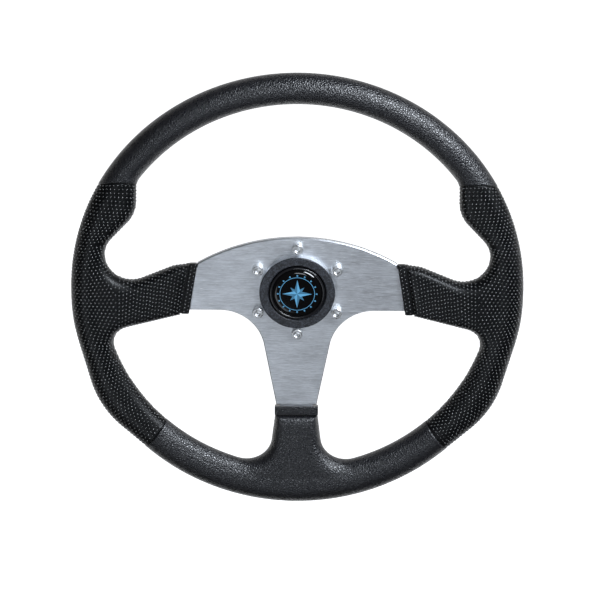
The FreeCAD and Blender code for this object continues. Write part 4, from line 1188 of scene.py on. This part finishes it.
class WHEEL_OT_horn_push(bpy.types.Operator):
    """Makes the textured bezel, the push button and its printed disc"""

    bl_idname = "wheel.horn_push"
    bl_label = "Horn push"

    def execute(self, context):
        settings = context.scene.wheel_horn
        black = textured_plastic("Bezel plastic", settings.bezel_colour)
        wall = turned_steel("Bezel wall", settings.wall_colour, 0.34)
        points, triangles, _ = welded([turned(bezel_profile(), PUSH_SIDES)])
        on_wall = outer_side(points, triangles, BEZEL_RADIUS - 0.25, BEZEL_FACE_Y + 0.7)
        bezel = mesh_piece("horn_ring", (points, triangles, on_wall), [black, wall])
        ready(bezel, "textured_black", "horn_bezel")
        gloss = gloss_plastic("Button plastic", settings.button_colour)
        button = mesh_piece("push_cap", welded([turned(button_profile(), PUSH_SIDES)])[:2], [gloss])
        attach(button, "horn_push")
        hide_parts("horn_button")
        card = compass_card("Compass card", settings.card_colour, settings.ink_colour)
        emblem = mesh_piece("compass_disc", welded([turned(emblem_profile(), PUSH_SIDES)])[:2], [card])
        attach(emblem, "horn_push")
        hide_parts("emblem_disc")
        return {"FINISHED"}


class WHEEL_OT_metalwork(bpy.types.Operator):
    """Finishes the solids that keep their shape: spoke plate, hub, spring and contacts"""

    bl_idname = "wheel.metalwork"
    bl_label = "Plate, hub and inner parts"

    def execute(self, context):
        settings, horn = context.scene.wheel_metal, context.scene.wheel_horn
        brass = turned_steel("Contact brass", settings.contact_colour)
        finishes = {
            "spoke_frame": brushed_metal("Brushed plate", settings.plate_colour, PLATE_FRONT_Y * MM),
            "hub": cast_metal("Hub paint", settings.hub_colour),
            "return_spring": turned_steel("Spring wire", settings.spring_colour),
            "moving_contact": brass,
            "fixed_contact": brass,
            "terminal_blade_right": brass,
            "terminal_blade_left": brass,
            "contact_base": textured_plastic("Base plastic", horn.base_colour, 0.6, 900.0, 0.3),
        }
        for name, material in finishes.items():
            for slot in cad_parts[name].material_slots:
                slot.material = material
        return {"FINISHED"}


def stand(name, data, right, up, back, place):
    """A camera or a lamp at a place, with its own axes to the right, up and back."""
    made = bpy.data.objects.new(name, data)
    bpy.context.scene.collection.objects.link(made)
    rows = np.vstack([np.column_stack([right, up, back, place]), [0, 0, 0, 1]])
    made.matrix_world = Matrix(rows.tolist())
    return made


def sweep(drop):
    """The floor that bends up into the backdrop: a flat run, a quarter circle and a flat rise, carried
    from side to side."""
    turns = np.linspace(0, np.pi / 2, 17)
    bend = np.column_stack([SWEEP_FAR - SWEEP_BEND + SWEEP_BEND * np.sin(turns),
                            SWEEP_BEND - drop - SWEEP_BEND * np.cos(turns)])
    profile = np.vstack([[(SWEEP_NEAR, -drop)], bend, [(SWEEP_FAR, SWEEP_TOP)]])
    places = np.concatenate([np.insert(profile, 0, edge, axis=1) for edge in (-SWEEP_HALF, SWEEP_HALF)])
    count = len(profile)
    k = np.arange(count - 1)
    mesh = bpy.data.meshes.new("floor")
    mesh.from_pydata(places.tolist(), [], np.stack([k, k + count, k + count + 1, k + 1], -1).tolist())
    return mesh


class WHEEL_OT_stage(bpy.types.Operator):
    """Sets the camera, the lights, the room light and the pale floor"""

    bl_idname = "wheel.stage"
    bl_label = "Stage"

    def execute(self, context):
        scene, settings = context.scene, context.scene.wheel_stage
        lens = bpy.data.cameras.new("Camera")
        lens.sensor_width, lens.lens, lens.clip_end = 36.0, CAMERA_LENS, 50
        lens.shift_x, lens.shift_y = CAMERA_SHIFT
        elevation, roll = math.radians(CAMERA_ELEVATION), math.radians(CAMERA_ROLL)
        back = np.array([0, -math.cos(elevation), math.sin(elevation)])
        level, up = np.array([1.0, 0, 0]), np.array([0, math.sin(elevation), math.cos(elevation)])
        scene.camera = stand("Camera", lens, math.cos(roll) * level + math.sin(roll) * up,
                             -math.sin(roll) * level + math.cos(roll) * up, back,
                             np.array([0, WHEEL_Y * MM, 0]) + back * CAMERA_REACH)
        for name, power, width, depth, place, aim in LAMPS:
            light = bpy.data.lights.new(name, "AREA")
            light.shape, light.size, light.size_y = "RECTANGLE", width, depth
            light.energy, light.color = getattr(settings, power), LAMP_COLOUR
            facing = unit(np.subtract(place, aim))
            aside = unit(np.cross([0, 1, 0] if abs(facing[1]) < 0.9 else [0, 0, 1], facing))
            stand(name, light, aside, np.cross(facing, aside), facing, place)
        scene.world = bpy.data.worlds.new("Room")
        scene.world.use_nodes = True
        room = scene.world.node_tree.nodes["Background"]
        room.inputs["Color"].default_value = (1, 1, 1, 1)
        room.inputs["Strength"].default_value = settings.world_level
        pale = Finish("Pale floor", (0.86, 0.86, 0.86), 0.8, Specular_IOR_Level=0.1,
                      Emission_Color=(1, 1, 1, 1))
        ray = pale.node("LightPath").outputs
        seen = pale.maths("MAXIMUM", ray["Is Camera Ray"], ray["Is Glossy Ray"])
        pale.drive("Emission Strength", pale.maths("MAXIMUM", seen, ray["Is Transmission Ray"]))
        ground = bpy.data.objects.new("floor", sweep(settings.floor_drop))
        ground.data.materials.append(pale.material)
        scene.collection.objects.link(ground)
        scene.view_settings.view_transform = "Standard"
        return {"FINISHED"}


class WHEEL_PT_panel(bpy.types.Panel):
    """Lists the wheel's steps and settings"""

    bl_label = "Boat steering wheel"
    bl_idname = "WHEEL_PT_panel"
    bl_space_type = "VIEW_3D"
    bl_region_type = "UI"
    bl_category = "Wheel"

    def draw(self, context):
        for group in (context.scene.wheel_moulding, context.scene.wheel_metal, context.scene.wheel_horn,
                      context.scene.wheel_stage):
            box = self.layout.box()
            for key in group.__annotations__:
                box.prop(group, key)
        for step in STEPS:
            self.layout.operator(step.bl_idname)


STEPS = (WHEEL_OT_grained_rim, WHEEL_OT_grips, WHEEL_OT_collars, WHEEL_OT_screws, WHEEL_OT_horn_push,
         WHEEL_OT_metalwork, WHEEL_OT_stage)
GROUPS = {"wheel_moulding": WheelMouldingSettings, "wheel_metal": WheelMetalSettings,
          "wheel_horn": WheelHornSettings, "wheel_stage": WheelStageSettings}


def register():
    """Adds the settings, the steps and the panel."""
    for item in (*GROUPS.values(), *STEPS, WHEEL_PT_panel):
        bpy.utils.register_class(item)
    for name, group in GROUPS.items():
        setattr(bpy.types.Scene, name, PointerProperty(type=group))


def unregister():
    """Takes the settings, the steps and the panel out again."""
    for name in GROUPS:
        delattr(bpy.types.Scene, name)
    for item in reversed((*GROUPS.values(), *STEPS, WHEEL_PT_panel)):
        bpy.utils.unregister_class(item)


def main():
    """Makes the whole wheel."""
    register()
    bpy.ops.wheel.grained_rim()
    bpy.ops.wheel.grips()
    bpy.ops.wheel.collars()
    bpy.ops.wheel.screws()
    bpy.ops.wheel.horn_push()
    bpy.ops.wheel.metalwork()
    bpy.ops.wheel.stage()
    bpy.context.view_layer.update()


if __name__ == "__main__":
    main()
